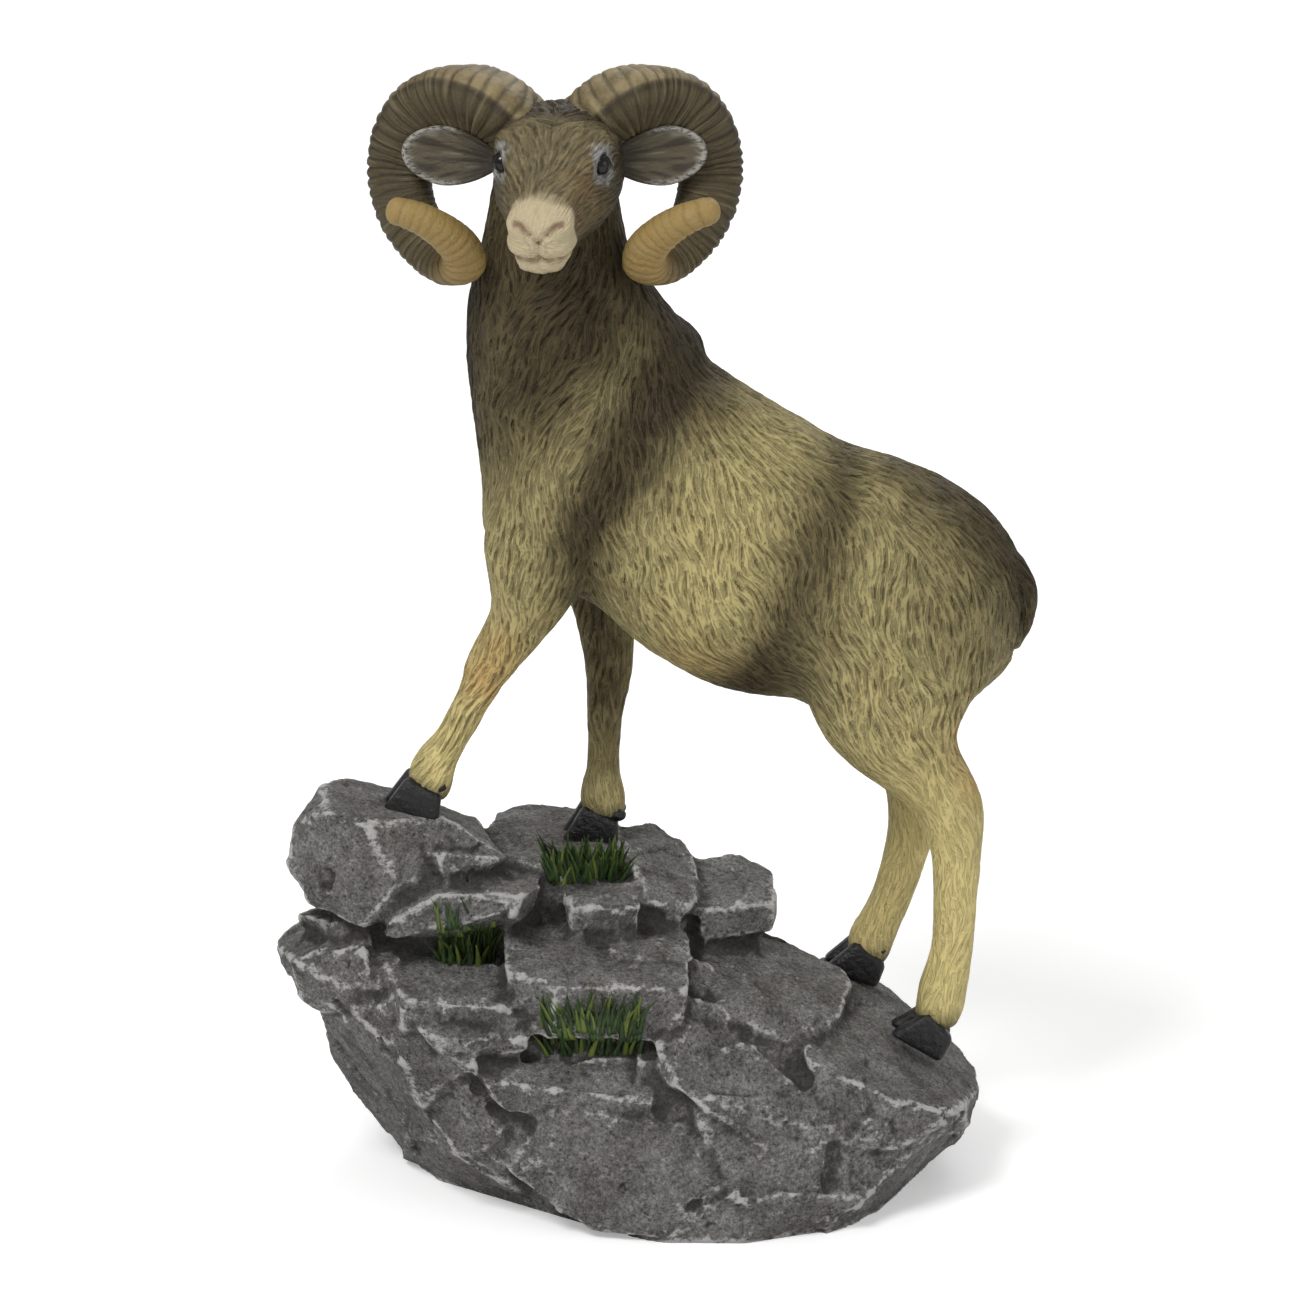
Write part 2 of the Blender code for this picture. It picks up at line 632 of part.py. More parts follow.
def make_toe(name, place, slope, side):
    """Half of a cloven hoof: a wedge with its point forward and its sole on the rock."""
    toe_width = (hoof_width - hoof_cleft) / 2
    shape = bmesh.new()
    bmesh.ops.create_cube(shape, size=1)
    for vert in shape.verts:
        forward = vert.co.x < 0
        high = vert.co.z > 0
        x = vert.co.x * hoof_length
        if forward and high:
            x += hoof_length * hoof_front_slope
        width = toe_width * (hoof_toe_share if forward else 1.0)
        width *= hoof_top_share if high else 1.0
        z = (hoof_height if forward else heel_height) if high else 0.0
        vert.co = Vector((x, vert.co.y * width, z))
    bmesh.ops.bevel(
        shape, geom=shape.edges[:] + shape.verts[:], offset=hoof_edge_round,
        offset_type="OFFSET", segments=1, profile=0.5, affect="EDGES", clamp_overlap=True)
    centre = Vector(place) + Vector((0, side * (toe_width + hoof_cleft) / 2, -hoof_sink))
    tilt = Matrix.Rotation(slope, 4, "Y")
    splay = Matrix.Rotation(-side * toe_splay, 4, "Z")
    matrix = Matrix.Scale(MM, 4) @ Matrix.Translation(centre) @ tilt @ splay
    bmesh.ops.transform(shape, matrix=matrix, verts=shape.verts)
    return new_object(name, shape)


def make_rock(name, corners, chamfer):
    """One broken block: the tight hull of its corners with worn edges."""
    shape = bmesh.new()
    for corner in corners:
        shape.verts.new(Vector(corner) * MM)
    hull = bmesh.ops.convex_hull(shape, input=shape.verts)
    inner = [item for item in hull["geom_interior"] if isinstance(item, bmesh.types.BMVert)]
    bmesh.ops.delete(shape, geom=inner, context="VERTS")
    if chamfer > 0:
        sharp = [edge for edge in shape.edges if edge.calc_face_angle() > worn_edge_angle]
        bmesh.ops.bevel(
            shape, geom=sharp, offset=chamfer * MM, offset_type="OFFSET",
            segments=1, profile=0.5, affect="EDGES", clamp_overlap=True)
    bmesh.ops.triangulate(shape, faces=shape.faces)
    bmesh.ops.dissolve_degenerate(shape, edges=shape.edges, dist=0.02 * MM)
    return new_object(name, shape)


def bake(obj):
    """Replace an object's mesh with what its modifiers make of it."""
    bpy.context.view_layer.update()
    graph = bpy.context.evaluated_depsgraph_get()
    mesh = bpy.data.meshes.new_from_object(obj.evaluated_get(graph))
    obj.modifiers.clear()
    obj.data = mesh
    return obj


def unite(obj, others):
    """Join other closed solids onto an object with exact unions."""
    group = bpy.data.collections.new(obj.name + "_joined")
    bpy.context.scene.collection.children.link(group)
    for other in others:
        group.objects.link(other)
    union = obj.modifiers.new("union", "BOOLEAN")
    union.operation = "UNION"
    union.operand_type = "COLLECTION"
    union.collection = group
    union.solver = "EXACT"
    bake(obj)
    for other in others:
        bpy.data.objects.remove(other, do_unlink=True)
    bpy.data.collections.remove(group)
    return obj


def blend(obj, others):
    """Grow overlapping solids into one smooth skin and thin its triangles."""
    shape = bmesh.new()
    for source in [obj] + others:
        shape.from_mesh(source.data)
    joined = new_object("ram", shape)
    for source in [obj] + others:
        bpy.data.objects.remove(source, do_unlink=True)
    skin = joined.modifiers.new("skin", "REMESH")
    skin.mode = "VOXEL"
    skin.voxel_size = body_voxel * MM
    soften = joined.modifiers.new("soften", "SMOOTH")
    soften.factor = 0.5
    soften.iterations = body_smoothing
    bake(joined)
    thin = joined.modifiers.new("thin", "DECIMATE")
    joined.data.calc_loop_triangles()
    thin.ratio = body_triangles / len(joined.data.loop_triangles)
    thin.use_collapse_triangulate = True
    return bake(joined)


def keep_outer_shell(obj):
    """Fill the sealed pockets between overlapping blocks, so that the casting is solid."""
    shape = bmesh.new()
    shape.from_mesh(obj.data)
    waiting = set(shape.verts)
    shells = []
    while waiting:
        shell = {waiting.pop()}
        edge_of_shell = list(shell)
        while edge_of_shell:
            vert = edge_of_shell.pop()
            for edge in vert.link_edges:
                other = edge.other_vert(vert)
                if other in waiting:
                    waiting.discard(other)
                    shell.add(other)
                    edge_of_shell.append(other)
        shells.append(shell)
    outer = max(shells, key=len)
    pockets = [vert for vert in shape.verts if vert not in outer]
    bmesh.ops.delete(shape, geom=pockets, context="VERTS")
    shape.to_mesh(obj.data)
    shape.free()
    return obj


def make_rocks():
    """The whole ledge: a core with the broken blocks set into it, cut flat underneath."""
    core = make_rock("rocks", lower_core_corners, 0)
    blocks = [make_rock("upper_core", upper_core_corners, 0)]
    for table in (front_rocks, back_rocks):
        for name, corners in table.items():
            blocks.append(make_rock(name, corners, rock_chamfer))
    unite(core, blocks)
    cutter_shape = bmesh.new()
    cut_size = Vector((underside_cut_width, underside_cut_width, underside_cut_depth)) * MM
    place = Matrix.Translation((0, 0, -cut_size.z / 2))
    bmesh.ops.create_cube(cutter_shape, size=1, matrix=place @ Matrix.Diagonal(cut_size).to_4x4())
    cutter = new_object("underside_cutter", cutter_shape)
    cut = core.modifiers.new("cut", "BOOLEAN")
    cut.operation = "DIFFERENCE"
    cut.object = cutter
    cut.solver = "EXACT"
    bake(core)
    bpy.data.objects.remove(cutter, do_unlink=True)
    return keep_outer_shell(core)


def rock_height(rocks, x, y):
    """The height of the rock's top surface at a place, in millimetres."""
    hit, place, _, _ = rocks.ray_cast(Vector((x, y, ray_start_height)) * MM, -UP)
    return place.z / MM if hit else 0.0


def hoof_seat(rocks, x, y):
    """The height of a hoof's middle on the rock, and the slope of its sole."""
    reach = hoof_length * sole_reach_share
    front = rock_height(rocks, x - reach, y)
    back = rock_height(rocks, x + reach, y)
    slope = math.atan2(front - back, 2 * reach)
    return (front + back) / 2, slope


def make_ram(rocks):
    """The ram with its hoofs seated on the rocks."""
    seats = {name: hoof_seat(rocks, x, y) for name, (x, y, _) in hoof_places.items()}
    shifts = {name: seats[name][0] - hoof_places[name][2] for name in hoof_places}
    fore_scale = shoulder_half_thickness / near_foreleg_rows[2][4]
    hind_scale = thigh_half_thickness / near_hind_leg_rows[2][4]
    fore_cannon = fore_cannon_radius / near_foreleg_rows[9][4]
    hind_cannon = hind_cannon_radius / near_hind_leg_rows[11][4]
    crest_size = (withers_crest_length, withers_crest_width, withers_crest_height)
    eye_ahead, eye_beside, eye_above = eye_place
    soft = [
        make_neck(),
        make_head(),
        make_tail(),
        make_leg("near_foreleg", near_foreleg_rows, shifts["near_fore"], fore_scale, fore_cannon),
        make_leg("far_foreleg", far_foreleg_rows, shifts["far_fore"], fore_scale, fore_cannon),
        make_leg("near_hind_leg", near_hind_leg_rows, shifts["near_hind"], hind_scale, hind_cannon),
        make_leg("far_hind_leg", far_hind_leg_rows, shifts["far_hind"], hind_scale, hind_cannon),
        make_bump("withers_crest", Vector(withers_crest_place), crest_size),
        make_bump("near_eye", head_point(eye_ahead, -eye_beside, eye_above), (eye_radius,) * 3),
        make_bump("far_eye", head_point(eye_ahead, eye_beside, eye_above), (eye_radius,) * 3),
    ]
    ram = blend(make_trunk(), soft)
    hard = []
    for side, name in ((1, "right"), (-1, "left")):
        hard.append(make_horn(name + "_horn", side))
        hard.append(make_ear(name + "_ear", side))
    for name, (x, y, _) in hoof_places.items():
        height, slope = seats[name]
        for side in (-1, 1):
            hard.append(make_toe(f"{name}_toe_{side}", (x, y, height), slope, side))
    return unite(ram, hard)


def painted_resin():
    """The figurine's hand-painted casting resin."""
    material = bpy.data.materials.new("painted_resin")
    material.use_nodes = True
    shader = material.node_tree.nodes["Principled BSDF"]
    shader.inputs["Base Color"].default_value = (0.16, 0.14, 0.09, 1)
    shader.inputs["Roughness"].default_value = 0.62
    shader.inputs["Metallic"].default_value = 0.0
    return material


def main():
    """Build the figurine as one closed solid in a collection of its own."""
    for obj in list(bpy.data.objects):
        bpy.data.objects.remove(obj, do_unlink=True)
    rocks = make_rocks()
    ram = make_ram(rocks)
    figurine = keep_outer_shell(unite(rocks, [ram]))
    figurine.name = "bighorn_figurine"
    figurine.data.name = "bighorn_figurine"
    figurine.data.materials.clear()
    figurine.data.materials.append(painted_resin())
    figurine.data.shade_smooth()
    figurine.data.set_sharp_from_angle(angle=math.radians(35))
    collection = bpy.data.collections.new("bighorn_ram_figurine")
    bpy.context.scene.collection.children.link(collection)
    collection.objects.link(figurine)
    bpy.context.scene.collection.objects.unlink(figurine)


main()
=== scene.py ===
import math

import bmesh
import bpy
import numpy as np
from mathutils import Matrix, Vector
from mathutils.bvhtree import BVHTree
from mathutils.kdtree import KDTree


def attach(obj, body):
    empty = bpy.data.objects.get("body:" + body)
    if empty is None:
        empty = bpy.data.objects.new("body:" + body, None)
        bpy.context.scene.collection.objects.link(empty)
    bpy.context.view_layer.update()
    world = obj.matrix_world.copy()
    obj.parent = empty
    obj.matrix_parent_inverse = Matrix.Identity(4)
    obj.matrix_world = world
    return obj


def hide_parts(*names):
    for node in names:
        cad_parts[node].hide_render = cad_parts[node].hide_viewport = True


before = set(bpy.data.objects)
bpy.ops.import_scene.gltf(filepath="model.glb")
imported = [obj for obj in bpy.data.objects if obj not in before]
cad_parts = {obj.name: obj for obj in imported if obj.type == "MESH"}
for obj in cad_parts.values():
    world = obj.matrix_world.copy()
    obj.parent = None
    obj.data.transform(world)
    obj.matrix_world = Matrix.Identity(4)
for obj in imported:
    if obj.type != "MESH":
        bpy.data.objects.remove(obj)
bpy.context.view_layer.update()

# The view: the figurine from its left side, a little above, with the long lens of a
# catalogue picture. The camera looks at the middle of the height, 90 cm away.
MM = 0.001
camera_height_angle = math.radians(18)
camera_distance = 0.9
looked_at = Vector((0, 0, 95.8 * MM))

camera_data = bpy.data.cameras.new("camera")
camera_data.lens = 142.7
camera_data.sensor_width = 36
camera_data.clip_start = 0.01
camera = bpy.data.objects.new("camera", camera_data)
bpy.context.scene.collection.objects.link(camera)
toward_camera = Vector((0, -math.cos(camera_height_angle), math.sin(camera_height_angle)))
camera.location = looked_at + toward_camera * camera_distance
camera.rotation_euler = toward_camera.to_track_quat("Z", "Y").to_euler()
bpy.context.scene.camera = camera
bpy.context.scene.view_settings.view_transform = "Standard"


# The studio: one soft lamp above on the left, a weaker one on the right, one behind, and
# an even white room. The lamps stay at a level at which a colour renders as it is written.
room_light = 0.42


def soft_lamp(name, place, size, watts):
    """A square lamp that points at the figurine."""
    data = bpy.data.lights.new(name, "AREA")
    data.energy = watts
    data.size = size
    lamp = bpy.data.objects.new(name, data)
    bpy.context.scene.collection.objects.link(lamp)
    lamp.location = Vector(place)
    lamp.rotation_euler = (Vector(place) - looked_at).to_track_quat("Z", "Y").to_euler()


soft_lamp("key_lamp", (-0.5, -0.7, 1.15), 0.45, 10.5)
soft_lamp("fill_lamp", (0.8, -0.7, 0.5), 0.8, 2.0)
soft_lamp("back_lamp", (0.3, 0.9, 0.8), 0.7, 4.0)

world = bpy.data.worlds.new("white_room")
bpy.context.scene.world = world
world.use_nodes = True
world_links = world.node_tree.links
room = world.node_tree.nodes["Background"]
room.inputs["Color"].default_value = (1, 1, 1, 1)
camera_ray = world.node_tree.nodes.new("ShaderNodeLightPath")
lit_or_seen = world.node_tree.nodes.new("ShaderNodeMix")
lit_or_seen.data_type = "FLOAT"
lit_or_seen.inputs[2].default_value = room_light
lit_or_seen.inputs[3].default_value = 1.0
world_links.new(camera_ray.outputs["Is Camera Ray"], lit_or_seen.inputs[0])
world_links.new(lit_or_seen.outputs[0], room.inputs["Strength"])


# The floor: a flat sheet of matt white board that the figurine stands on. It keeps the
# figurine's shadow, and shows white to the camera. It isn't part of the object.
floor_half_size = 0.95


class Value:
    """A shader socket that can be used in a Python expression."""

    def __init__(self, paint, socket):
        self.paint = paint
        self.socket = socket

    def math(self, operation, first, second):
        """A Math node on two values or numbers."""
        return self.paint.node("ShaderNodeMath", {"operation": operation}, {0: first, 1: second})

    def __add__(self, other):
        return self.math("ADD", self, other)

    def __radd__(self, other):
        return self.math("ADD", other, self)

    def __sub__(self, other):
        return self.math("SUBTRACT", self, other)

    def __rsub__(self, other):
        return self.math("SUBTRACT", other, self)

    def __mul__(self, other):
        return self.math("MULTIPLY", self, other)

    def __rmul__(self, other):
        return self.math("MULTIPLY", other, self)

    def clamped(self, low, high):
        """This value moved from low..high to 0..1 with soft ends."""
        return self.paint.node(
            "ShaderNodeMapRange", {"interpolation_type": "SMOOTHSTEP"},
            {"Value": self, "From Min": low, "From Max": high, "To Min": 0.0, "To Max": 1.0})


class Paint:
    """A material built from nodes, with one Principled shader."""

    def __init__(self, name, roughness=0.6, shine=0.5):
        self.material = bpy.data.materials.new(name)
        self.material.use_nodes = True
        self.nodes = self.material.node_tree.nodes
        self.links = self.material.node_tree.links
        self.shader = self.nodes["Principled BSDF"]
        self.shader.inputs["Roughness"].default_value = roughness
        self.shader.inputs["Specular IOR Level"].default_value = shine

    def node(self, kind, settings, inputs, output=0):
        """Any node: its settings first, then the values or links of its sockets."""
        made = self.nodes.new(kind)
        for key, value in settings.items():
            setattr(made, key, value)
        for key, value in inputs.items():
            if isinstance(value, Value):
                self.links.new(value.socket, made.inputs[key])
            else:
                made.inputs[key].default_value = value
        return Value(self, made.outputs[output])

    def attribute(self, name):
        """A number stored on the mesh."""
        return self.node("ShaderNodeAttribute", {"attribute_name": name}, {}, "Fac")

    def place(self, scale=(1, 1, 1), turn=(0, 0, 0)):
        """Object coordinates in millimetres, stretched and turned."""
        coordinates = self.node("ShaderNodeTexCoord", {}, {}, "Object")
        sizes = tuple(1000.0 * value for value in scale)
        return self.node(
            "ShaderNodeMapping", {}, {"Vector": coordinates, "Scale": sizes, "Rotation": turn})

    def noise(self, vector, scale, detail, rough):
        """Noise from 0 to 1 with the given number of bumps to a millimetre."""
        return self.node(
            "ShaderNodeTexNoise", {},
            {"Vector": vector, "Scale": scale, "Detail": detail, "Roughness": rough})

    def strokes(self, scale, length, count):
        """Fine strokes along the stored lie of the hair: noise averaged down its length."""
        here = self.place()
        lie = self.node("ShaderNodeAttribute", {"attribute_name": "lie"}, {}, "Vector")
        total = None
        for index in range(count):
            step = length * (index / (count - 1) - 0.5)
            shifted = self.node(
                "ShaderNodeVectorMath", {"operation": "MULTIPLY_ADD"},
                {0: lie, 1: (step, step, step), 2: here})
            sample = self.noise(shifted, scale, 0.0, 0.5)
            total = sample if total is None else total + sample
        return total * (1.0 / count)

    def mix(self, factor, under, over):
        """One colour over another."""
        inputs = {0: factor}
        for key, colour in ((6, under), (7, over)):
            inputs[key] = colour if isinstance(colour, Value) else (*colour, 1.0)
        return self.node("ShaderNodeMix", {"data_type": "RGBA"}, inputs, 2)

    def base(self, factor, first, second):
        """The first colour of the paint, which varies between two."""
        self.colour = self.mix(factor, from_srgb(*first), from_srgb(*second))

    def coat(self, factor, over):
        """One more colour over what is painted so far."""
        self.colour = self.mix(factor, self.colour, from_srgb(*over))

    def shade(self, factor):
        """What is painted so far made lighter or darker by a varying factor."""
        self.colour = self.node(
            "ShaderNodeVectorMath", {"operation": "SCALE"}, {0: self.colour, "Scale": factor})

    def finish(self, height, depth):
        """Link the colour and a fine relief, a depth in metres high, to the shader."""
        self.links.new(self.colour.socket, self.shader.inputs["Base Color"])
        bump = self.node(
            "ShaderNodeBump", {}, {"Height": height, "Distance": depth, "Strength": 1.0})
        self.links.new(bump.socket, self.shader.inputs["Normal"])
        return self.material


def from_srgb(red, green, blue):
    """A colour picked on screen, 0 to 255, as the shader's linear numbers."""
    return tuple((value / 255) ** 2.2 for value in (red, green, blue))


floor_shape = bmesh.new()
bmesh.ops.create_grid(floor_shape, x_segments=1, y_segments=1, size=floor_half_size)
floor_mesh = bpy.data.meshes.new("floor")
floor_shape.to_mesh(floor_mesh)
floor_shape.free()
floor = bpy.data.objects.new("floor", floor_mesh)
bpy.context.scene.collection.objects.link(floor)
floor_paint = Paint("white_floor", 0.9)
floor_paint.shader.inputs["Base Color"].default_value = (0.93, 0.93, 0.93, 1)
seen_floor = floor_paint.node("ShaderNodeLightPath", {}, {}, "Is Camera Ray")
floor_glow = floor_paint.mix(seen_floor, (0.0, 0.0, 0.0), (0.3, 0.3, 0.3))
floor_paint.links.new(floor_glow.socket, floor_paint.shader.inputs["Emission Color"])
floor_paint.shader.inputs["Emission Strength"].default_value = 1.0
floor_mesh.materials.append(floor_paint.material)


# The rocks: a stepped pile of broken grey stones, cast in resin with the ram and
# dry-brushed with white on the worn edges. Each block is the tight hull of its corners in
# millimetres, and all are grown into one skin that is chipped, layered and roughened.
front_rocks = {
    "corner_boulder": [
        (-58, -4, 73), (-56, 8, 69.5), (-46, 9, 67.5), (-30, 5, 63), (-25.5, -12, 63),
        (-47, -13, 72), (-36, -12, 69.8), (-37, 2, 67), (-41, -18.5, 65.5),
        (-49, -20, 71), (-56, -18, 73), (-44, -21, 59.5), (-50, -21, 51),
        (-59.5, -16, 54), (-64, -12, 60), (-62.5, -12, 68), (-63, 2, 58), (-50, 14, 52),
        (-30, 8, 52),
    ],
    "boulder_spur": [
        (-38, -19, 65.5), (-31.5, -8, 64), (-24, -8, 61.5), (-23.5, -14, 62.5),
        (-36.5, -20, 60.5), (-30, -8, 55),
    ],
    "upper_slab": [
        (-39.5, -14, 58.5), (-25.5, -6, 58.5), (-19.5, -6, 57.5), (-18, -14, 57.5),
        (-21.5, -20, 58), (-36.5, -23, 59.5), (-47.5, -24, 53), (-46.5, -24, 50.5),
        (-23.5, -22, 54.5), (-22, -8, 47), (-42, -12, 47),
    ],
    "left_shelf": [
        (-67.2, -4, 43), (-62, 2, 46), (-50, -8, 47.5), (-49.5, -20, 49), (-64, -16, 44.5),
        (-61.5, -14, 35), (-57.5, -16, 33), (-47, -23, 38), (-60, 4, 36), (-45, 0, 36),
    ],
    "left_flank": [
        (-58.5, -6, 29), (-59, -12, 34.5), (-53.5, -20, 37.5), (-45, -26, 40.5),
        (-57.5, -2, 19), (-43.5, -28, 30.5), (-29.5, -32, 31.5), (-54, 0, 12.5),
        (-45, 0, 0), (-40, -26, 20), (-34, -12, 0), (-40, 6, 30),
    ],
    "middle_left_block": [
        (-47, -18, 45.5), (-44, -14, 46), (-26, -16, 44), (-24.5, -29, 40.5), (-43, -29.5, 42),
        (-43.5, -28.5, 35), (-26, -28.5, 37.5), (-46.5, -22, 40), (-34, -12, 34),
    ],
    "left_ledge": [
        (-42.5, -28, 38), (-24.5, -26, 37.5), (-20, -30, 35), (-36.5, -32.5, 35.5),
        (-36.5, -31, 31.5), (-21, -29.5, 32), (-32, -20, 30),
    ],
    "centre_block": [
        (-26, -14, 49), (-18.5, -10, 49.5), (-9.5, -10, 48), (7, -14, 45), (7, -26, 43),
        (-2, -29, 44), (-15.5, -30, 45), (-25.5, -26, 46), (-18, -29.5, 34), (-24.5, -26, 38.5),
        (5, -27, 33), (-10, -12, 32),
    ],
    "middle_right_block": [
        (-8, -6, 48), (7, -8, 47.5), (8.5, -16, 44), (-2, -20.5, 45.8), (-8, -19, 47.8),
        (0, -10, 38),
    ],
    "small_step": [
        (-17, -4, 54.8), (-2, -4, 54.5), (-1, -14, 53.5), (-14, -16.5, 54.5), (-14, -15.5, 49),
        (-2, -13, 46),
    ],
    "centre_top": [
        (-30, 6, 61), (-28.5, 19, 59.5), (-21.5, 24, 59.5), (-14, 23, 59), (-5, 16, 58.5),
        (-4.5, 1, 58.8), (-26.5, -4.5, 59.5), (-16, -9, 57.5), (-27, -2, 50), (-8, -4, 50),
        (-16, 22, 48),
    ],
    "right_top": [
        (-4.5, 16, 58), (0.5, 21, 57), (7, 16, 54.5), (8.5, 6, 54.5), (8.5, -8.5, 51.5),
        (-2, -10.5, 53), (-4.5, 2, 58), (-2, -8, 44), (8, 14, 44),
    ],
    "right_slab": [
        (7.5, 14, 52.5), (16.5, 16, 52.8), (22.5, 12, 50.5), (22.5, -2.5, 49.8), (8.2, -6.5, 50.2),
        (22.3, -2, 43), (8.5, -5.5, 43), (16, 14, 42),
    ],
    "right_boulder": [
        (11.5, 4, 42), (17, 9, 41), (24, 11, 38.5), (35, 6, 34.5), (36, -2, 34),
        (34, -13.5, 33), (27.5, -22.5, 29.5), (16.5, -22.5, 35), (9.5, -16.5, 40), (8, -6, 41.5),
        (24.5, -22.5, 26.5), (9.5, -16.5, 34), (33, 2, 24),
    ],
    "right_shelf": [
        (30, 14, 34.5), (36, 14, 32.8), (42.5, 17, 27), (54.5, 16, 17), (59.5, 8, 13.5), (59.5, -4, 15),
        (54, -24, 19), (43, -30, 23.5), (37, -30, 26.5), (26, -27, 31), (31, -29, 29),
        (57.5, -10, 9.5), (43.5, -30.5, 14), (33, -32.5, 14), (28, 10, 20),
    ],
    "right_foot": [
        (33, -32.5, 17), (49, -26.5, 15.5), (57.5, -2, 6), (49.5, -4, 0), (43, -18, 0),
        (36, -30, 0), (29.5, -35, 0), (54, 10, 8), (40, 6, 0),
    ],
    "leaning_block": [
        (7, -25, 37), (14.5, -23, 34.5), (24.5, -27.5, 26.5), (31.5, -30, 22), (32, -34, 17.5),
        (20.5, -37, 16), (5, -35, 27), (1, -31, 27.5), (0, -28, 34.5), (22, -20, 16),
    ],
    "leaning_foot": [
        (20.5, -36.5, 16.5), (32, -34.5, 18), (30, -35.5, 9), (12, -37.5, 9), (8.5, -35, 22),
        (5, -33, 27), (18, -22, 8),
    ],
    "low_centre_block": [
        (-19, -34, 23), (-8.5, -35.5, 24), (7, -34, 21.5), (13, -38, 10), (1.5, -38.5, 0.5),
        (-10.5, -36.5, 1), (-26, -31.5, 11), (-14, -20, 3),
    ],
    "step_block": [
        (-32, -29, 30), (-15.5, -27, 30), (0, -27, 28.8), (1.5, -34, 25), (-16.5, -34.5, 27.5),
        (-29.5, -33.5, 29), (-26, -33.5, 22), (0, -34.5, 21.5), (-14, -20, 20),
    ],
    "low_left_block": [
        (-42, -24, 22), (-31.5, -30.5, 27), (-26, -32.5, 20), (-34, -27, 12), (-32, -14, 0),
        (-20.5, -19, 0), (-46, -2, 0), (-24, -29, 6),
    ],
    "left_filler": [
        (-34, -27.5, 30), (-24, -29.5, 29), (-23.5, -31, 19), (-33, -28.5, 20), (-28, -15, 24),
    ],
    "centre_filler": [
        (-3, -28, 31), (4.5, -29.5, 31), (8, -33.6, 23), (-1, -33, 21), (9, -34, 17), (2, -15, 24),
    ],
    "ledge_end_filler": [
        (-28.5, -26, 41), (-23, -27.5, 40.5), (-22, -29.3, 34), (-28, -29.5, 36), (-25, -18, 38),
    ],
    "low_filler": [
        (-29, -28.5, 23), (-18, -32.3, 23), (-17, -34, 13), (-28, -30, 13), (-20, -18, 18),
    ],
    "under_boulder_filler": [
        (5, -22, 40.5), (14, -21, 38), (15, -25.5, 31), (4, -27.5, 32), (10, -12, 34),
    ],
    "step_filler": [
        (17, -21.5, 34), (29, -22, 30), (31, -27.5, 23), (19, -28, 26), (24, -12, 28),
    ],
    "right_filler": [
        (28, -33.2, 21), (35, -31.5, 20), (35, -33, 7), (28.5, -34.2, 7), (32, -15, 14),
    ],
    "boulder_filler": [
        (4, -11, 44.5), (12, -11, 41.5), (11, -19.5, 36), (4.5, -22, 36), (8, 0, 38),
    ],
    "shelf_filler": [
        (-50.5, -18, 47), (-44, -16, 46.5), (-44, -25, 37), (-51, -22.5, 36), (-48, -5, 42),
    ],
    "ledge_filler": [
        (-63, -10, 51), (-49, -18, 51), (-61, -8, 44), (-47, -20, 47), (-50, 0, 50),
    ],
    "right_toe": [
        (8.5, -38, 8.5), (26, -37.5, 9.5), (38, -33.5, 7.5), (36, -31, 0), (15.5, -38.5, 0),
        (1.5, -38, 0), (-6, -34, 0), (20, -20, 3),
    ],
}
back_rocks = {
    "back_upper_left": [
        (-57, 6, 62), (-46, 4, 63), (-33, 10, 60), (-31, 24, 55), (-44, 27, 54), (-56, 20, 55),
        (-58, 8, 44), (-34, 28, 40), (-50, 26, 40),
    ],
    "back_left_step": [
        (-61, 0, 42), (-59, 18, 40), (-46, 31, 38), (-30, 32, 36), (-55, 12, 14), (-42, 26, 12),
        (-28, 24, 14), (-34, 2, 20), (-48, 0, 8),
    ],
    "back_left_filler": [
        (-59, 2, 47), (-57, 18, 47), (-45, 27, 47), (-59.5, 2, 38), (-57, 18, 38), (-45, 29, 38),
        (-38, 5, 46), (-38, 5, 38),
    ],
    "back_left_foot": [
        (-50, 2, 20), (-46, 26, 19), (-30, 36, 20), (-12, 37, 18), (-44, 10, 0), (-30, 30, 0),
        (-14, 34, 0), (-20, 4, 0),
    ],
    "back_centre": [
        (-33, 12, 54), (-24, 16, 56), (-4, 17, 54), (-2, 30, 48), (-18, 34, 47), (-31, 30, 49),
        (-30, 34, 26), (-4, 34, 26), (-16, 12, 20),
    ],
    "back_centre_foot": [
        (-20, 20, 32), (4, 22, 33), (16, 30, 28), (2, 37.5, 26), (-16, 37, 27), (-18, 38, 5),
        (10, 38.5, 5), (18, 30, 0), (-10, 34, 0), (0, 10, 0),
    ],
    "back_right_top": [
        (-2, 14, 53), (12, 14, 49), (22, 12, 46), (22, 26, 41), (8, 31, 42), (-2, 28, 45),
        (20, 30, 24), (0, 32, 26), (14, 6, 20),
    ],
    "back_right_step": [
        (12, 10, 38), (28, 10, 35), (38, 15, 29), (37, 27, 24), (20, 34, 26), (12, 30, 28),
        (38, 28, 8), (16, 36, 8), (24, 6, 4),
    ],
    "back_right_foot": [
        (32, 8, 24), (46, 14, 19), (55, 15, 13.5), (50, 26, 9), (34, 33, 12), (18, 36, 13),
        (50, 20, 0), (34, 32, 0), (14, 34, 0), (20, 0, 0), (50, 0, 0),
    ],
}
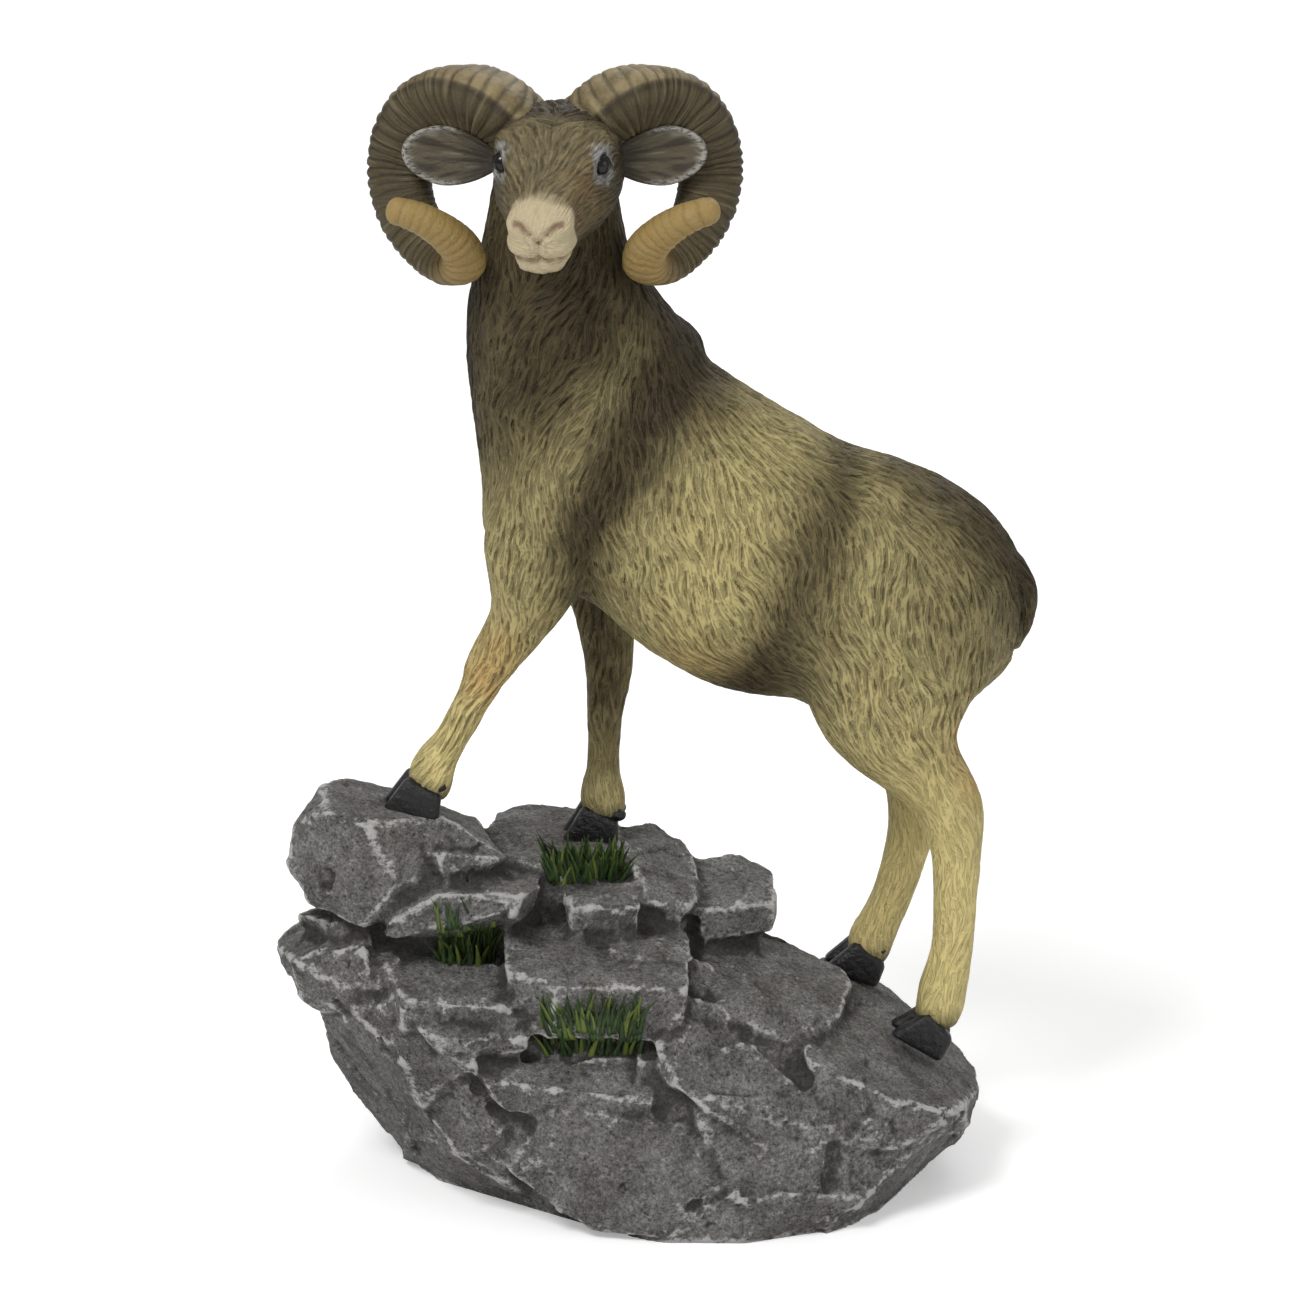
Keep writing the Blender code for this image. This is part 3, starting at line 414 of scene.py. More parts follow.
lower_core = [
    (-46, 6, 0), (-38, -11, 0), (-22, -20, 0), (-10, -31, 0), (26, -32, 0), (40, -25, 0),
    (50, -4, 0), (49, 12, 0), (34, 29, 0), (-12, 33, 0), (-34, 25, 0),
    (-54, -6, 36), (-53, 12, 37), (-44, -15, 41), (-41, -21, 35), (-26, -24, 36),
    (-23, -28, 22), (-2, -23.5, 37), (-8, -30.5, 20), (6, -19.5, 37), (18, -23.5, 28),
    (20, -31.5, 13), (31, -25, 19), (42, -23, 14), (52, -5, 12), (50, 12, 13), (20, -4, 34),
    (30, 2, 28), (28, 18, 28), (-20, -11, 44), (0, -11, 43), (10, 12, 42), (-20, 20, 45),
    (-42, 14, 44), (-28, 30, 38), (4, 30, 34),
]
upper_core = [
    (-54, 8, 60), (-57, -8, 60), (-43, -14, 60), (-28, -8, 58.5), (-20, -5, 55), (-6, -1, 55),
    (-6, 16, 55), (-26, 20, 56), (-46, 22, 52), (7, 8, 50.5), (8, 20, 46), (20, 8, 47),
    (20, 0, 46), (20, 0, 34), (-57, -8, 48), (-44, -17, 48), (-30, -10, 38), (-6, -6, 38),
    (-40, 20, 34), (10, 20, 30),
]
rock_grain = 0.68
rock_chamfer = 0.9
rock_core_chamfer = 0.3
rock_crevice_fill = 0.45
rock_sunk = 0.35
rock_flat_below = 0.7

# How far each kind of relief stands out of the stone or is cut into it.
swell_height = 0.35
large_facet_height = 0.55
small_facet_height = 0.22
layer_height = 0.14
pitting_height = 0.13
grit_height = 0.07
seam_depth = 0.35
seam_half_width = 0.7
edge_reach = 1.2


def add_block(shape, corners, chamfer):
    """The tight hull of a block's corners, with its edges worn, added to a bmesh."""
    block = bmesh.new()
    for corner in corners:
        block.verts.new(Vector(corner) * MM)
    hull = bmesh.ops.convex_hull(block, input=block.verts)
    inner = [item for item in hull["geom_interior"] if isinstance(item, bmesh.types.BMVert)]
    bmesh.ops.delete(block, geom=inner, context="VERTS")
    sharp = [edge for edge in block.edges if edge.calc_face_angle(0) > math.radians(30)]
    bmesh.ops.bevel(
        block, geom=sharp, offset=chamfer * MM, offset_type="OFFSET", segments=2,
        profile=0.5, affect="EDGES", material=-1, clamp_overlap=True)
    bmesh.ops.recalc_face_normals(block, faces=block.faces)
    part = bpy.data.meshes.new("block")
    block.to_mesh(part)
    block.free()
    shape.from_mesh(part)
    bpy.data.meshes.remove(part)


def new_piece(name, shape):
    """A piece at the origin that holds the finished bmesh."""
    mesh = bpy.data.meshes.new(name)
    shape.to_mesh(mesh)
    shape.free()
    piece = bpy.data.objects.new(name, mesh)
    bpy.context.scene.collection.objects.link(piece)
    return piece


def settle(piece):
    """Turn a piece's modifiers into its mesh."""
    bpy.context.view_layer.update()
    graph = bpy.context.evaluated_depsgraph_get()
    mesh = bpy.data.meshes.new_from_object(piece.evaluated_get(graph))
    piece.modifiers.clear()
    old = piece.data
    piece.data = mesh
    mesh.name = piece.name
    bpy.data.meshes.remove(old)
    return piece


def grow_skin(piece, grain, smoothing, fill=0.0):
    """One closed skin over overlapping solids, with the narrow gaps between them filled."""
    if fill:
        outward = piece.modifiers.new("outward", "DISPLACE")
        outward.strength = fill * MM
        outward.mid_level = 0.0
    skin = piece.modifiers.new("skin", "REMESH")
    skin.mode = "VOXEL"
    skin.voxel_size = grain * MM
    if fill:
        inward = piece.modifiers.new("inward", "DISPLACE")
        inward.strength = -fill * MM
        inward.mid_level = 0.0
    if smoothing:
        soften = piece.modifiers.new("soften", "SMOOTH")
        soften.factor = 0.5
        soften.iterations = smoothing
    return settle(piece)


def read_points(mesh):
    """The mesh's points in millimetres."""
    flat = np.empty(len(mesh.vertices) * 3, np.float32)
    mesh.vertices.foreach_get("co", flat)
    return flat.reshape(-1, 3) / MM


def write_points(mesh, points):
    """Move the mesh's points to places in millimetres."""
    mesh.vertices.foreach_set("co", (points * MM).astype(np.float32).ravel())
    mesh.update()


def read_normals(mesh):
    """The direction that the surface faces at each point."""
    flat = np.empty(len(mesh.vertices) * 3, np.float32)
    mesh.vertex_normals.foreach_get("vector", flat)
    return flat.reshape(-1, 3)


def softened(piece, iterations):
    """Where the points would lie if the surface were smoothed."""
    soften = piece.modifiers.new("soften", "SMOOTH")
    soften.factor = 0.5
    soften.iterations = iterations
    bpy.context.view_layer.update()
    graph = bpy.context.evaluated_depsgraph_get()
    points = read_points(piece.evaluated_get(graph).data)
    piece.modifiers.remove(soften)
    return points


def store(mesh, name, values):
    """Keep one number for each point on the mesh, for its paint."""
    layer = mesh.attributes.new(name, "FLOAT", "POINT")
    layer.data.foreach_set("value", values.astype(np.float32))


def lattice_noise(points, cell, seed):
    """Smooth noise from -1 to 1, with bumps about two cells apart."""
    size = 64
    table = np.random.default_rng(seed).uniform(-1, 1, (size, size, size)).astype(np.float32)
    scaled = points / cell
    corner = np.floor(scaled).astype(np.int64)
    part = (scaled - corner).astype(np.float32)
    part = part * part * (3 - 2 * part)
    low = corner % size
    high = (corner + 1) % size
    total = np.zeros(len(points), np.float32)
    for ix, wx in ((low[:, 0], 1 - part[:, 0]), (high[:, 0], part[:, 0])):
        for iy, wy in ((low[:, 1], 1 - part[:, 1]), (high[:, 1], part[:, 1])):
            for iz, wz in ((low[:, 2], 1 - part[:, 2]), (high[:, 2], part[:, 2])):
                total += table[ix, iy, iz] * wx * wy * wz
    return total


def chipped_planes(points, cell, tilt, seed):
    """The height of a surface broken into small flat facets, one to a cell."""
    chooser = np.random.default_rng(seed)
    size = 32
    jitter = chooser.uniform(0.1, 0.9, (size, size, size, 3))
    slopes = chooser.normal(0, tilt, (size, size, size, 3))
    scaled = points / cell
    corner = np.floor(scaled).astype(np.int64)
    nearest = np.full(len(points), 1e9)
    height = np.zeros(len(points))
    for dx in (-1, 0, 1):
        for dy in (-1, 0, 1):
            for dz in (-1, 0, 1):
                cell_index = corner + (dx, dy, dz)
                ix, iy, iz = (cell_index % size).T
                offset = scaled - cell_index - jitter[ix, iy, iz]
                distance = (offset ** 2).sum(axis=1)
                closer = distance < nearest
                nearest[closer] = distance[closer]
                plane = (offset * slopes[ix, iy, iz]).sum(axis=1)
                height[closer] = plane[closer]
    return height


def wandered(points, reach, cell, seed):
    """The points moved about by smooth noise, so that what follows isn't ruled straight."""
    shift = [lattice_noise(points, cell, seed + axis) for axis in range(3)]
    return points + reach * np.stack(shift, axis=1)


def block_planes(corners, edge_spots):
    """The outward planes of a block's hull, with spots along its sharp edges put on a list."""
    block = bmesh.new()
    for corner in corners:
        block.verts.new(Vector(corner))
    bmesh.ops.convex_hull(block, input=block.verts)
    middle = sum((Vector(corner) for corner in corners), Vector()) / len(corners)
    planes = []
    for face in block.faces:
        face.normal_update()
        centre = face.calc_center_median()
        outward = face.normal if (centre - middle).dot(face.normal) > 0 else -face.normal
        planes.append((*outward, outward.dot(centre)))
    for edge in block.edges:
        if len(edge.link_faces) == 2 and edge.calc_face_angle(0) > math.radians(24):
            start, end = (vert.co for vert in edge.verts)
            count = int((end - start).length / 0.4) + 1
            edge_spots.extend(start.lerp(end, index / count) for index in range(count + 1))
    block.free()
    return np.array(planes)


rock_shape = bmesh.new()
add_block(rock_shape, lower_core, rock_core_chamfer)
add_block(rock_shape, upper_core, rock_core_chamfer)
blocks = []
edge_spots = []
for table in (front_rocks, back_rocks):
    for corners in table.values():
        add_block(rock_shape, corners, rock_chamfer)
        blocks.append(block_planes(corners, edge_spots))
rocks = grow_skin(new_piece("rocks", rock_shape), rock_grain, 4, rock_crevice_fill)
points = read_points(rocks.data)
normals = read_normals(rocks.data)

# The blocks' sharp edges, where the white is brushed on.
edge_tree = KDTree(len(edge_spots))
for index, spot in enumerate(edge_spots):
    edge_tree.insert(spot, index)
edge_tree.balance()
wobble = wandered(points, 0.7, 1.8, 40)
to_edge = np.array([edge_tree.find(place)[2] for place in wobble])
edge_width = edge_reach + 0.7 * lattice_noise(points, 4.0, 44)
store(rocks.data, "edge", np.exp(-(to_edge / edge_width) ** 2))

# The seams, where the surface is near to two blocks at once.
seam_wander = wandered(points, 0.5, 2.2, 10)
block_gaps = []
for planes in blocks:
    outside = (seam_wander @ planes[:, :3].T - planes[:, 3]).max(axis=1)
    block_gaps.append(np.abs(outside))
second_gap = np.sort(np.stack(block_gaps), axis=0)[1]
seams = np.exp(-(second_gap / seam_half_width) ** 2)
seams *= np.clip(0.7 + 0.7 * lattice_noise(points, 5.0, 13), 0, 1)

# The chipped faces, their layers and the grit.
warped = wandered(points, 1.6, 3.5, 20)
height = swell_height * lattice_noise(points, 6.0, 1)
height += large_facet_height * chipped_planes(warped, 9.0, 0.7, 2)
height += small_facet_height * chipped_planes(warped, 3.8, 0.6, 3)
layers = lattice_noise(warped * (0.25, 0.25, 1.4), 1.6, 4)
height += layer_height * layers * (1 - np.abs(normals[:, 2]))
height += pitting_height * lattice_noise(points, 1.1, 5)
height += grit_height * lattice_noise(points, 0.7, 6)
height -= seam_depth * seams
above_ground = np.clip(points[:, 2] / 3.0, 0, 1)
moved = points + normals * (height * above_ground - rock_sunk)[:, None]
moved[:, 2] = np.maximum(moved[:, 2], 0.0)
write_points(rocks.data, moved)
seated = softened(rocks, 1)
seated[seated[:, 2] < rock_flat_below, 2] = 0.0
write_points(rocks.data, seated)

# How far each point stands out or lies in a hollow, for the paint: the worn edges take the white, and the
# hollows and seams take painted shade.
points = read_points(rocks.data)
normals = read_normals(rocks.data)
fine_bend = ((points - softened(rocks, 6)) * normals).sum(axis=1)
fine_bend /= fine_bend.std()
broad_bend = ((points - softened(rocks, 40)) * normals).sum(axis=1)
broad_bend /= broad_bend.std()
# Painted shade: the deep and the narrow hollows between the blocks are darkened, as shade falls in them.
shade_in_hollows = np.clip(-broad_bend * 0.35, 0, 2) + np.clip(-fine_bend * 0.2, 0, 1)
store(rocks.data, "worn", fine_bend * 0.22 + broad_bend * 0.42)
store(rocks.data, "hollow_shade", shade_in_hollows + 0.3 * seams)

rock_paint = Paint("painted_rock", 0.78, 0.3)
grit = rock_paint.noise(rock_paint.place(), 1.9, 5.0, 0.7)
patches = rock_paint.noise(rock_paint.place(), 0.13, 3.0, 0.6)
brown_patches = rock_paint.noise(rock_paint.place(turn=(0.4, 0.2, 1.0)), 0.09, 4.0, 0.6)
brush = rock_paint.noise(rock_paint.place(scale=(1, 1, 1.6)), 0.55, 6.0, 0.75)
speckle = rock_paint.noise(rock_paint.place(turn=(1.0, 0.3, 0.2)), 1.3, 4.0, 0.75)
sand = rock_paint.noise(rock_paint.place(turn=(0.7, 1.1, 0.4)), 2.6, 2.0, 0.6)
dust = rock_paint.noise(rock_paint.place(turn=(0.1, 0.8, 0.2)), 0.34, 6.0, 0.72)
rock_paint.base(patches.clamped(0.3, 0.7), (90, 89, 86), (124, 123, 121))
rock_paint.coat(brown_patches.clamped(0.45, 0.7) * 0.4, (98, 86, 84))
pale_dust = (dust * 0.5 + grit * 0.5).clamped(0.5, 0.66)
rock_paint.coat(pale_dust * 0.5, (150, 149, 147))
rock_paint.coat((1.0 - dust).clamped(0.5, 0.7) * 0.45, (58, 56, 54))
rock_paint.shade(speckle * 3.4 + sand * 2.0 - 1.65)
hollow_shade = rock_paint.attribute("hollow_shade")
# Painted shade in the hollows and seams between the blocks.
rock_paint.coat(hollow_shade.clamped(0.15, 1.1) * 0.75, (50, 48, 46))
worn = rock_paint.attribute("worn")
edge = rock_paint.attribute("edge")
open_stone = 1.0 - hollow_shade.clamped(0.0, 0.35)
brushed = edge * 0.8 + worn * 0.42 + (brush - 0.5) * 2.8 + (speckle - 0.5) * 1.4
white_edge = brushed.clamped(0.42, 1.15) * open_stone
rock_paint.coat(white_edge * 0.9, (200, 199, 196))
rock_material = rock_paint.finish(grit * 0.4 + speckle * 0.6, 0.0011)
rocks.data.materials.append(rock_material)
rocks.data.shade_smooth()
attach(rocks, "root")
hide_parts("bighorn_figurine")


# The ram: one carved body with a thick coat, cast in resin with its rocks and painted in
# browns. The trunk, neck, legs and tail are swept through their cross-sections and grown
# into one smooth skin, and the coat is cut into it along the lie of the hair.
body_half_width = 19.5
neck_half_depth = 15.5
tail_radius = 4.0
tail_length = 16.0
tail_top = 113.0
tail_middle_y = -1.9
tail_crease_depth = 0.8
crest_middle = (1.2, 7.0, 147.4)
crest_half_size = (8.5, 5, 7.6)
ring_sides = 28
skin_grain = 0.8
coat_grain = 0.66
coat_groove_depth = 0.34
UP = Vector((0, 0, 1))
FORWARD = Vector((-1, 0, 0))

# The trunk from rump to chest: x, top z, bottom z, share of the body's half width.
trunk_rows = [
    (66.0, 108.0, 101.0, 0.12), (64.5, 112.0, 98.0, 0.26), (62.0, 117.0, 93.0, 0.46),
    (57.0, 122.6, 88.5, 0.67), (51.0, 126.7, 84.0, 0.79), (43.0, 130.2, 82.0, 0.87),
    (34.0, 132.9, 83.0, 0.90), (26.0, 137.4, 87.6, 0.90), (17.0, 142.9, 88.8, 0.97),
    (8.5, 148.4, 91.5, 1.00), (-2.0, 152.0, 98.0, 0.95), (-9.0, 152.0, 104.5, 0.85),
    (-16.0, 150.0, 108.0, 0.74), (-23.0, 142.0, 111.5, 0.62), (-27.0, 134.0, 115.0, 0.44),
    (-29.0, 127.0, 118.5, 0.20),
]

# The neck upwards: z, middle x, half length fore and aft, share of the neck's half depth.
neck_rows = [
    (117.0, -9.5, 13.0, 0.60), (124.5, -10.0, 18.4, 0.88), (132.7, -9.0, 20.8, 1.00),
    (141.0, -10.0, 20.8, 0.97), (150.0, -11.4, 20.2, 0.90), (159.0, -14.6, 16.6, 0.84),
    (167.0, -16.2, 13.0, 0.77), (175.0, -16.3, 11.2, 0.74), (182.0, -16.0, 10.0, 0.65),
    (188.0, -15.0, 7.0, 0.45),
]

# Each leg downwards: x, y, z, half length fore and aft, half thickness.
leg_tables = {
    "near_foreleg": [
        (-3.0, -6.0, 150.0, 4.0, 4.0), (-7.0, -9.0, 143.0, 9.0, 7.0), (-12.0, -11.0, 132.0, 11.0, 7.5),
        (-18.0, -11.5, 121.0, 10.5, 7.0), (-20.0, -10.5, 112.0, 8.3, 6.3), (-22.5, -9.5, 104.5, 5.6, 5.0),
        (-27.9, -9.0, 96.0, 4.2, 4.2), (-29.4, -9.0, 92.5, 3.5, 3.6), (-32.2, -9.0, 87.0, 3.1, 3.2),
        (-35.0, -9.0, 82.0, 3.1, 3.1), (-37.7, -9.0, 77.8, 3.9, 3.8), (-38.4, -9.0, 74.6, 4.1, 3.8),
        (-39.2, -9.0, 72.4, 3.6, 3.4),
    ],
    "far_foreleg": [
        (-3.0, 6.0, 148.0, 4.0, 4.0), (-6.0, 9.0, 140.0, 9.0, 7.0), (-10.0, 10.0, 128.0, 10.0, 6.8),
        (-11.0, 9.5, 116.0, 8.5, 6.2), (-9.0, 8.5, 105.5, 6.2, 5.2), (-7.8, 8.0, 98.0, 5.2, 4.6),
        (-7.3, 8.0, 89.6, 4.3, 4.2), (-7.9, 8.0, 83.5, 3.5, 3.6), (-8.2, 8.0, 77.0, 3.0, 3.2),
        (-8.4, 8.0, 71.5, 3.1, 3.1), (-8.6, 8.0, 67.1, 4.1, 3.8), (-8.4, 8.0, 64.3, 4.2, 3.8),
        (-9.3, 8.0, 62.0, 3.6, 3.4),
    ],
    "near_hind_leg": [
        (46.0, -2.0, 123.5, 5.0, 4.0), (46.0, -5.5, 118.5, 12.0, 8.5), (44.0, -9.0, 110.0, 16.5, 10.0),
        (43.0, -10.5, 100.0, 16.8, 9.0), (42.0, -11.0, 92.0, 15.3, 8.2), (43.4, -11.0, 85.0, 12.0, 7.0),
        (46.4, -10.5, 79.0, 8.0, 5.8), (50.5, -10.2, 74.0, 6.2, 4.9), (52.8, -10.0, 69.0, 5.6, 4.5),
        (53.4, -10.0, 62.0, 4.6, 4.0), (53.4, -10.0, 53.0, 4.0, 3.8), (53.0, -10.0, 44.0, 3.8, 3.8),
        (51.6, -10.0, 37.0, 4.4, 4.1), (51.0, -10.0, 33.2, 4.4, 4.0), (50.0, -10.0, 30.2, 4.0, 3.7),
    ],
    "far_hind_leg": [
        (46.0, 2.0, 122.5, 5.0, 4.0), (45.0, 5.0, 117.5, 12.0, 8.5), (43.5, 9.0, 106.0, 15.0, 9.0),
        (42.0, 10.0, 92.0, 13.5, 7.5), (43.5, 10.0, 80.0, 8.8, 6.0), (46.2, 9.8, 71.5, 6.2, 4.9),
        (47.2, 9.8, 65.5, 5.2, 4.4), (46.3, 10.0, 57.5, 4.3, 3.9), (43.8, 10.0, 48.0, 3.8, 3.8),
        (41.4, 10.0, 42.0, 3.9, 3.8), (39.8, 10.0, 38.6, 4.3, 4.0), (39.2, 10.0, 36.2, 4.1, 3.8),
        (38.2, 10.0, 34.2, 3.6, 3.5),
    ],
}

# The tail downwards: share of its length, how far it stands out, share of its radius.
tail_shares = [(0, 0, 0.7), (0.3, 2.2, 1.0), (0.6, 2.4, 0.95), (0.85, 1.2, 0.7), (1, 0.2, 0.3)]

# The lie of the hair seen from the side: x, z, and the way it points in x and z.
hair_guides = [
    (-16, 176, -0.1, -1.0), (-26, 168, -0.3, -1.0), (-6, 168, 0.1, -1.0), (-16, 160, -0.6, -0.8),
    (-29, 152, -0.4, -0.9), (-4, 158, -0.45, -0.9), (5, 150, 0.1, -1.0), (-14, 146, -0.6, -0.8),
    (-25, 136, -0.3, -1.0), (-3, 144, -0.2, -1.0), (-18, 126, 0.0, -1.0), (-12, 116, 0.05, -1.0),
    (-21, 108, -0.3, -1.0), (-30, 92, -0.5, -0.87), (-37, 78, -0.4, -0.9), (-8, 98, 0.0, -1.0),
    (-8, 75, 0.0, -1.0), (1, 136, 0.15, -1.0), (10, 130, 0.35, -0.94), (10, 112, 0.35, -0.94),
    (20, 130, 0.4, -0.92), (22, 106, 0.4, -0.9), (12, 96, 0.7, -0.7), (26, 92, 0.75, -0.65),
    (8, 147, 0.6, -0.8), (20, 140, 0.8, -0.6), (35, 132, 0.85, -0.5), (50, 126, 0.8, -0.6),
    (62, 116, 0.5, -0.87), (34, 116, 0.15, -1.0), (45, 110, 0.05, -1.0), (55, 108, 0.1, -1.0),
    (63, 101, 0.1, -1.0), (38, 95, 0.3, -0.95), (50, 90, 0.3, -0.95), (46, 80, 0.5, -0.85),
    (52, 70, 0.3, -0.95), (53, 50, 0.0, -1.0), (51, 35, -0.1, -1.0), (44, 50, -0.3, -0.95),
]


def smooth_rows(rows, steps):
    """Rows read off a smooth curve through the given rows."""
    table = np.array(rows, float)
    result = []
    for index in range(len(rows) - 1):
        a, b, c, d = (table[min(max(index + shift, 0), len(rows) - 1)] for shift in (-1, 0, 1, 2))
        for step in range(steps):
            t = step / steps
            bend = (c - a) * t + (2 * a - 5 * b + 4 * c - d) * t ** 2 + (3 * b - a - 3 * c + d) * t ** 3
            result.append(b + 0.5 * bend)
    return result + [table[-1]]


def section_ring(centre, along, above, half_side, half_above, half_below, squareness=2.2):
    """One cross-section: a rounded oval square to the direction along."""
    upward = (above - along * above.dot(along)).normalized()
    sideways = along.cross(upward)
    ring = []
    for index in range(ring_sides):
        turn = 2 * math.pi * index / ring_sides
        across = math.copysign(abs(math.cos(turn)) ** (2 / squareness), math.cos(turn))
        rise = math.copysign(abs(math.sin(turn)) ** (2 / squareness), math.sin(turn))
        half_height = half_above if rise > 0 else half_below
        ring.append(centre + sideways * half_side * across + upward * half_height * rise)
    return ring


def roll_skin(shape, rings):
    """A closed skin through rings of points: a grid rolled into a tube, its ends filled."""
    sides = len(rings[0])
    grid = bmesh.ops.create_grid(shape, x_segments=sides, y_segments=len(rings) - 1, size=1)["verts"]
    for index, vert in enumerate(grid):
        row, column = divmod(index, sides + 1)
        vert.co = rings[row][column % sides] * MM
    bmesh.ops.remove_doubles(shape, verts=grid, dist=1e-7)
    ends = [vert for vert in grid if vert.is_valid and vert.is_boundary]
    rim = list(dict.fromkeys(edge for vert in ends for edge in vert.link_edges if edge.is_boundary))
    bmesh.ops.holes_fill(shape, edges=rim, sides=0)


def way_ahead(points):
    """The direction of travel at each point of a path."""
    last = len(points) - 1
    return [(points[min(i + 1, last)] - points[max(i - 1, 0)]).normalized() for i in range(last + 1)]


def add_limb(shape, rows):
    """A leg or the tail: oval sections along its middle line."""
    rows = smooth_rows(rows, 4)
    centres = [Vector(row[:3]) for row in rows]
    rings = []
    for centre, along, (_, _, _, half_length, half_side) in zip(centres, way_ahead(centres), rows):
        rings.append(section_ring(centre, along, FORWARD, half_side, half_length, half_length, 2.0))
    roll_skin(shape, rings)


def egg(middle, half_size):
    """The place and size of a rounded lump made from a sphere of radius 1."""
    sizes = Matrix.Diagonal(Vector(half_size) * MM).to_4x4()
    return Matrix.Translation(Vector(middle) * MM) @ sizes


def hair_direction(points, normals, wobble, seed):
    """The way that the hair lies at each point, in the surface."""
    guides = np.array(hair_guides, float)
    total = np.zeros((len(points), 2))
    for x, z, away_x, away_z in guides:
        nearness = 1.0 / ((points[:, 0] - x) ** 2 + (points[:, 2] - z) ** 2 + 12.0) ** 2
        total += nearness[:, None] * (away_x, away_z)
    lie = np.stack([total[:, 0], np.zeros(len(points)), total[:, 1]], axis=1)
    return turned_in_surface(lie, points, normals, wobble, seed)


def turned_in_surface(lie, points, normals, wobble, seed):
    """Directions pressed into the surface and bent a little, as hair is."""
    lie = lie - normals * (lie * normals).sum(axis=1)[:, None]
    lie /= np.maximum(np.linalg.norm(lie, axis=1), 1e-9)[:, None]
    beside = np.cross(normals, lie)
    broad = lattice_noise(points, 6.0, seed)
    narrow = lattice_noise(points, 2.6, seed + 1)
    bend = wobble * (0.6 * broad + 0.4 * narrow)
    return lie * np.cos(bend)[:, None] + beside * np.sin(bend)[:, None]


def hair_strokes(points, normals, lie, pitch, length, spacing, seed):
    """Noise drawn out along the hair and evened out across it: streaks a spacing apart."""
    beside = np.cross(normals, lie) * spacing
    total = np.zeros(len(points))
    for step in np.linspace(-1, 1, 11):
        share = math.cos(step * math.pi / 2) ** 2 + 0.02
        here = points + lie * step * length
        aside = lattice_noise(here + beside, pitch, seed) + lattice_noise(here - beside, pitch, seed)
        total += share * (lattice_noise(here, pitch, seed) - 0.5 * aside)
    return total / total.std()


def store_lie(mesh, lie):
    """Keep the way that the hair lies at each point, for the paint's strokes."""
    layer = mesh.attributes.new("lie", "FLOAT_VECTOR", "POINT")
    layer.data.foreach_set("vector", lie.astype(np.float32).ravel())


ram_shape = bmesh.new()
rings = []
for x, top, bottom, share in smooth_rows(trunk_rows, 4):
    half_height = (top - bottom) / 2
    middle = Vector((x, 0, (top + bottom) / 2))
    half_width = share * body_half_width
    rings.append(section_ring(middle, FORWARD, UP, half_width, half_height, half_height))
roll_skin(ram_shape, rings)
rings = []
for z, x, half_length, share in smooth_rows(neck_rows, 4):
    middle = Vector((x, 0, z))
    half_width = share * neck_half_depth
    rings.append(section_ring(middle, UP, FORWARD, half_width, half_length, half_length))
roll_skin(ram_shape, rings)
for rows in leg_tables.values():
    add_limb(ram_shape, rows)
tail_rows = []
for share, out, thickness in tail_shares:
    radius = thickness * tail_radius
    tail_rows.append((60.5 + out, -1.0 - 1.5 * share, tail_top - share * tail_length, radius, radius))
add_limb(ram_shape, tail_rows)
bmesh.ops.create_uvsphere(
    ram_shape, u_segments=24, v_segments=12, radius=1, matrix=egg(crest_middle, crest_half_size))
bmesh.ops.recalc_face_normals(ram_shape, faces=ram_shape.faces)
ram = grow_skin(new_piece("ram", ram_shape), skin_grain, 14)
regrid = ram.modifiers.new("regrid", "REMESH")
regrid.mode = "VOXEL"
regrid.voxel_size = coat_grain * MM
finer = ram.modifiers.new("finer", "SUBSURF")
finer.levels = 1
finer.render_levels = 1
settle(ram)

# The coat: short strokes cut along the lie of the hair, shallower on the lower legs.
points = read_points(ram.data)
normals = read_normals(ram.data)
lie = hair_direction(points, normals, 0.75, 31)
broad_strokes = hair_strokes(points, normals, lie, 0.5, 2.2, 0.6, 41)
grooves = np.clip(-broad_strokes - 0.4, 0, 1.3) / 1.3
on_leg = np.clip((86.0 - points[:, 2]) / 14.0, 0, 1)
short_coat = 1.0 - 0.6 * on_leg
clumps = hair_strokes(points, normals, lie, 1.5, 4.0, 2.0, 43)
relief = 0.05 * clumps - coat_groove_depth * grooves + 0.05 * broad_strokes

# The tail hangs against the rump, so a crease is cut round it.
along_tail = np.clip(points[:, 2], 99.5, 111.0)
to_tail = np.hypot(points[:, 1] - tail_middle_y, points[:, 2] - along_tail) - 0.85 * tail_radius
on_rump = np.clip((points[:, 0] - 56.0) / 3.0, 0, 1)
below_top = np.clip((tail_top - points[:, 2]) / 3.0, 0, 1)
tail_crease = np.exp(-(to_tail / 0.6) ** 2) * on_rump * below_top
tail_skin = np.clip(-to_tail / 1.2, 0, 1) * on_rump
relief += 0.4 * tail_skin - tail_crease_depth * tail_crease
write_points(ram.data, points + normals * (relief * short_coat)[:, None])
store_lie(ram.data, lie)
store(ram.data, "groove", grooves * short_coat)
store(ram.data, "short_coat", short_coat)


def near_spots(points, spots):
    """How close each point is to a chain of spots seen from the side, from 0 to 1."""
    closest = np.zeros(len(points))
    for x, z, reach, strength in spots:
        distance = np.hypot(points[:, 0] - x, points[:, 2] - z)
        closest = np.maximum(closest, strength * np.exp(-(distance / reach) ** 2 * 0.8))
    return closest


def chain(corners, steps):
    """Spots along a line through corners, each with its reach and strength."""
    spots = []
    for before, after in zip(corners, corners[1:]):
        for step in range(steps):
            share = step / steps
            spots.append(tuple(p + (q - p) * share for p, q in zip(before, after)))
    return spots + [corners[-1]]


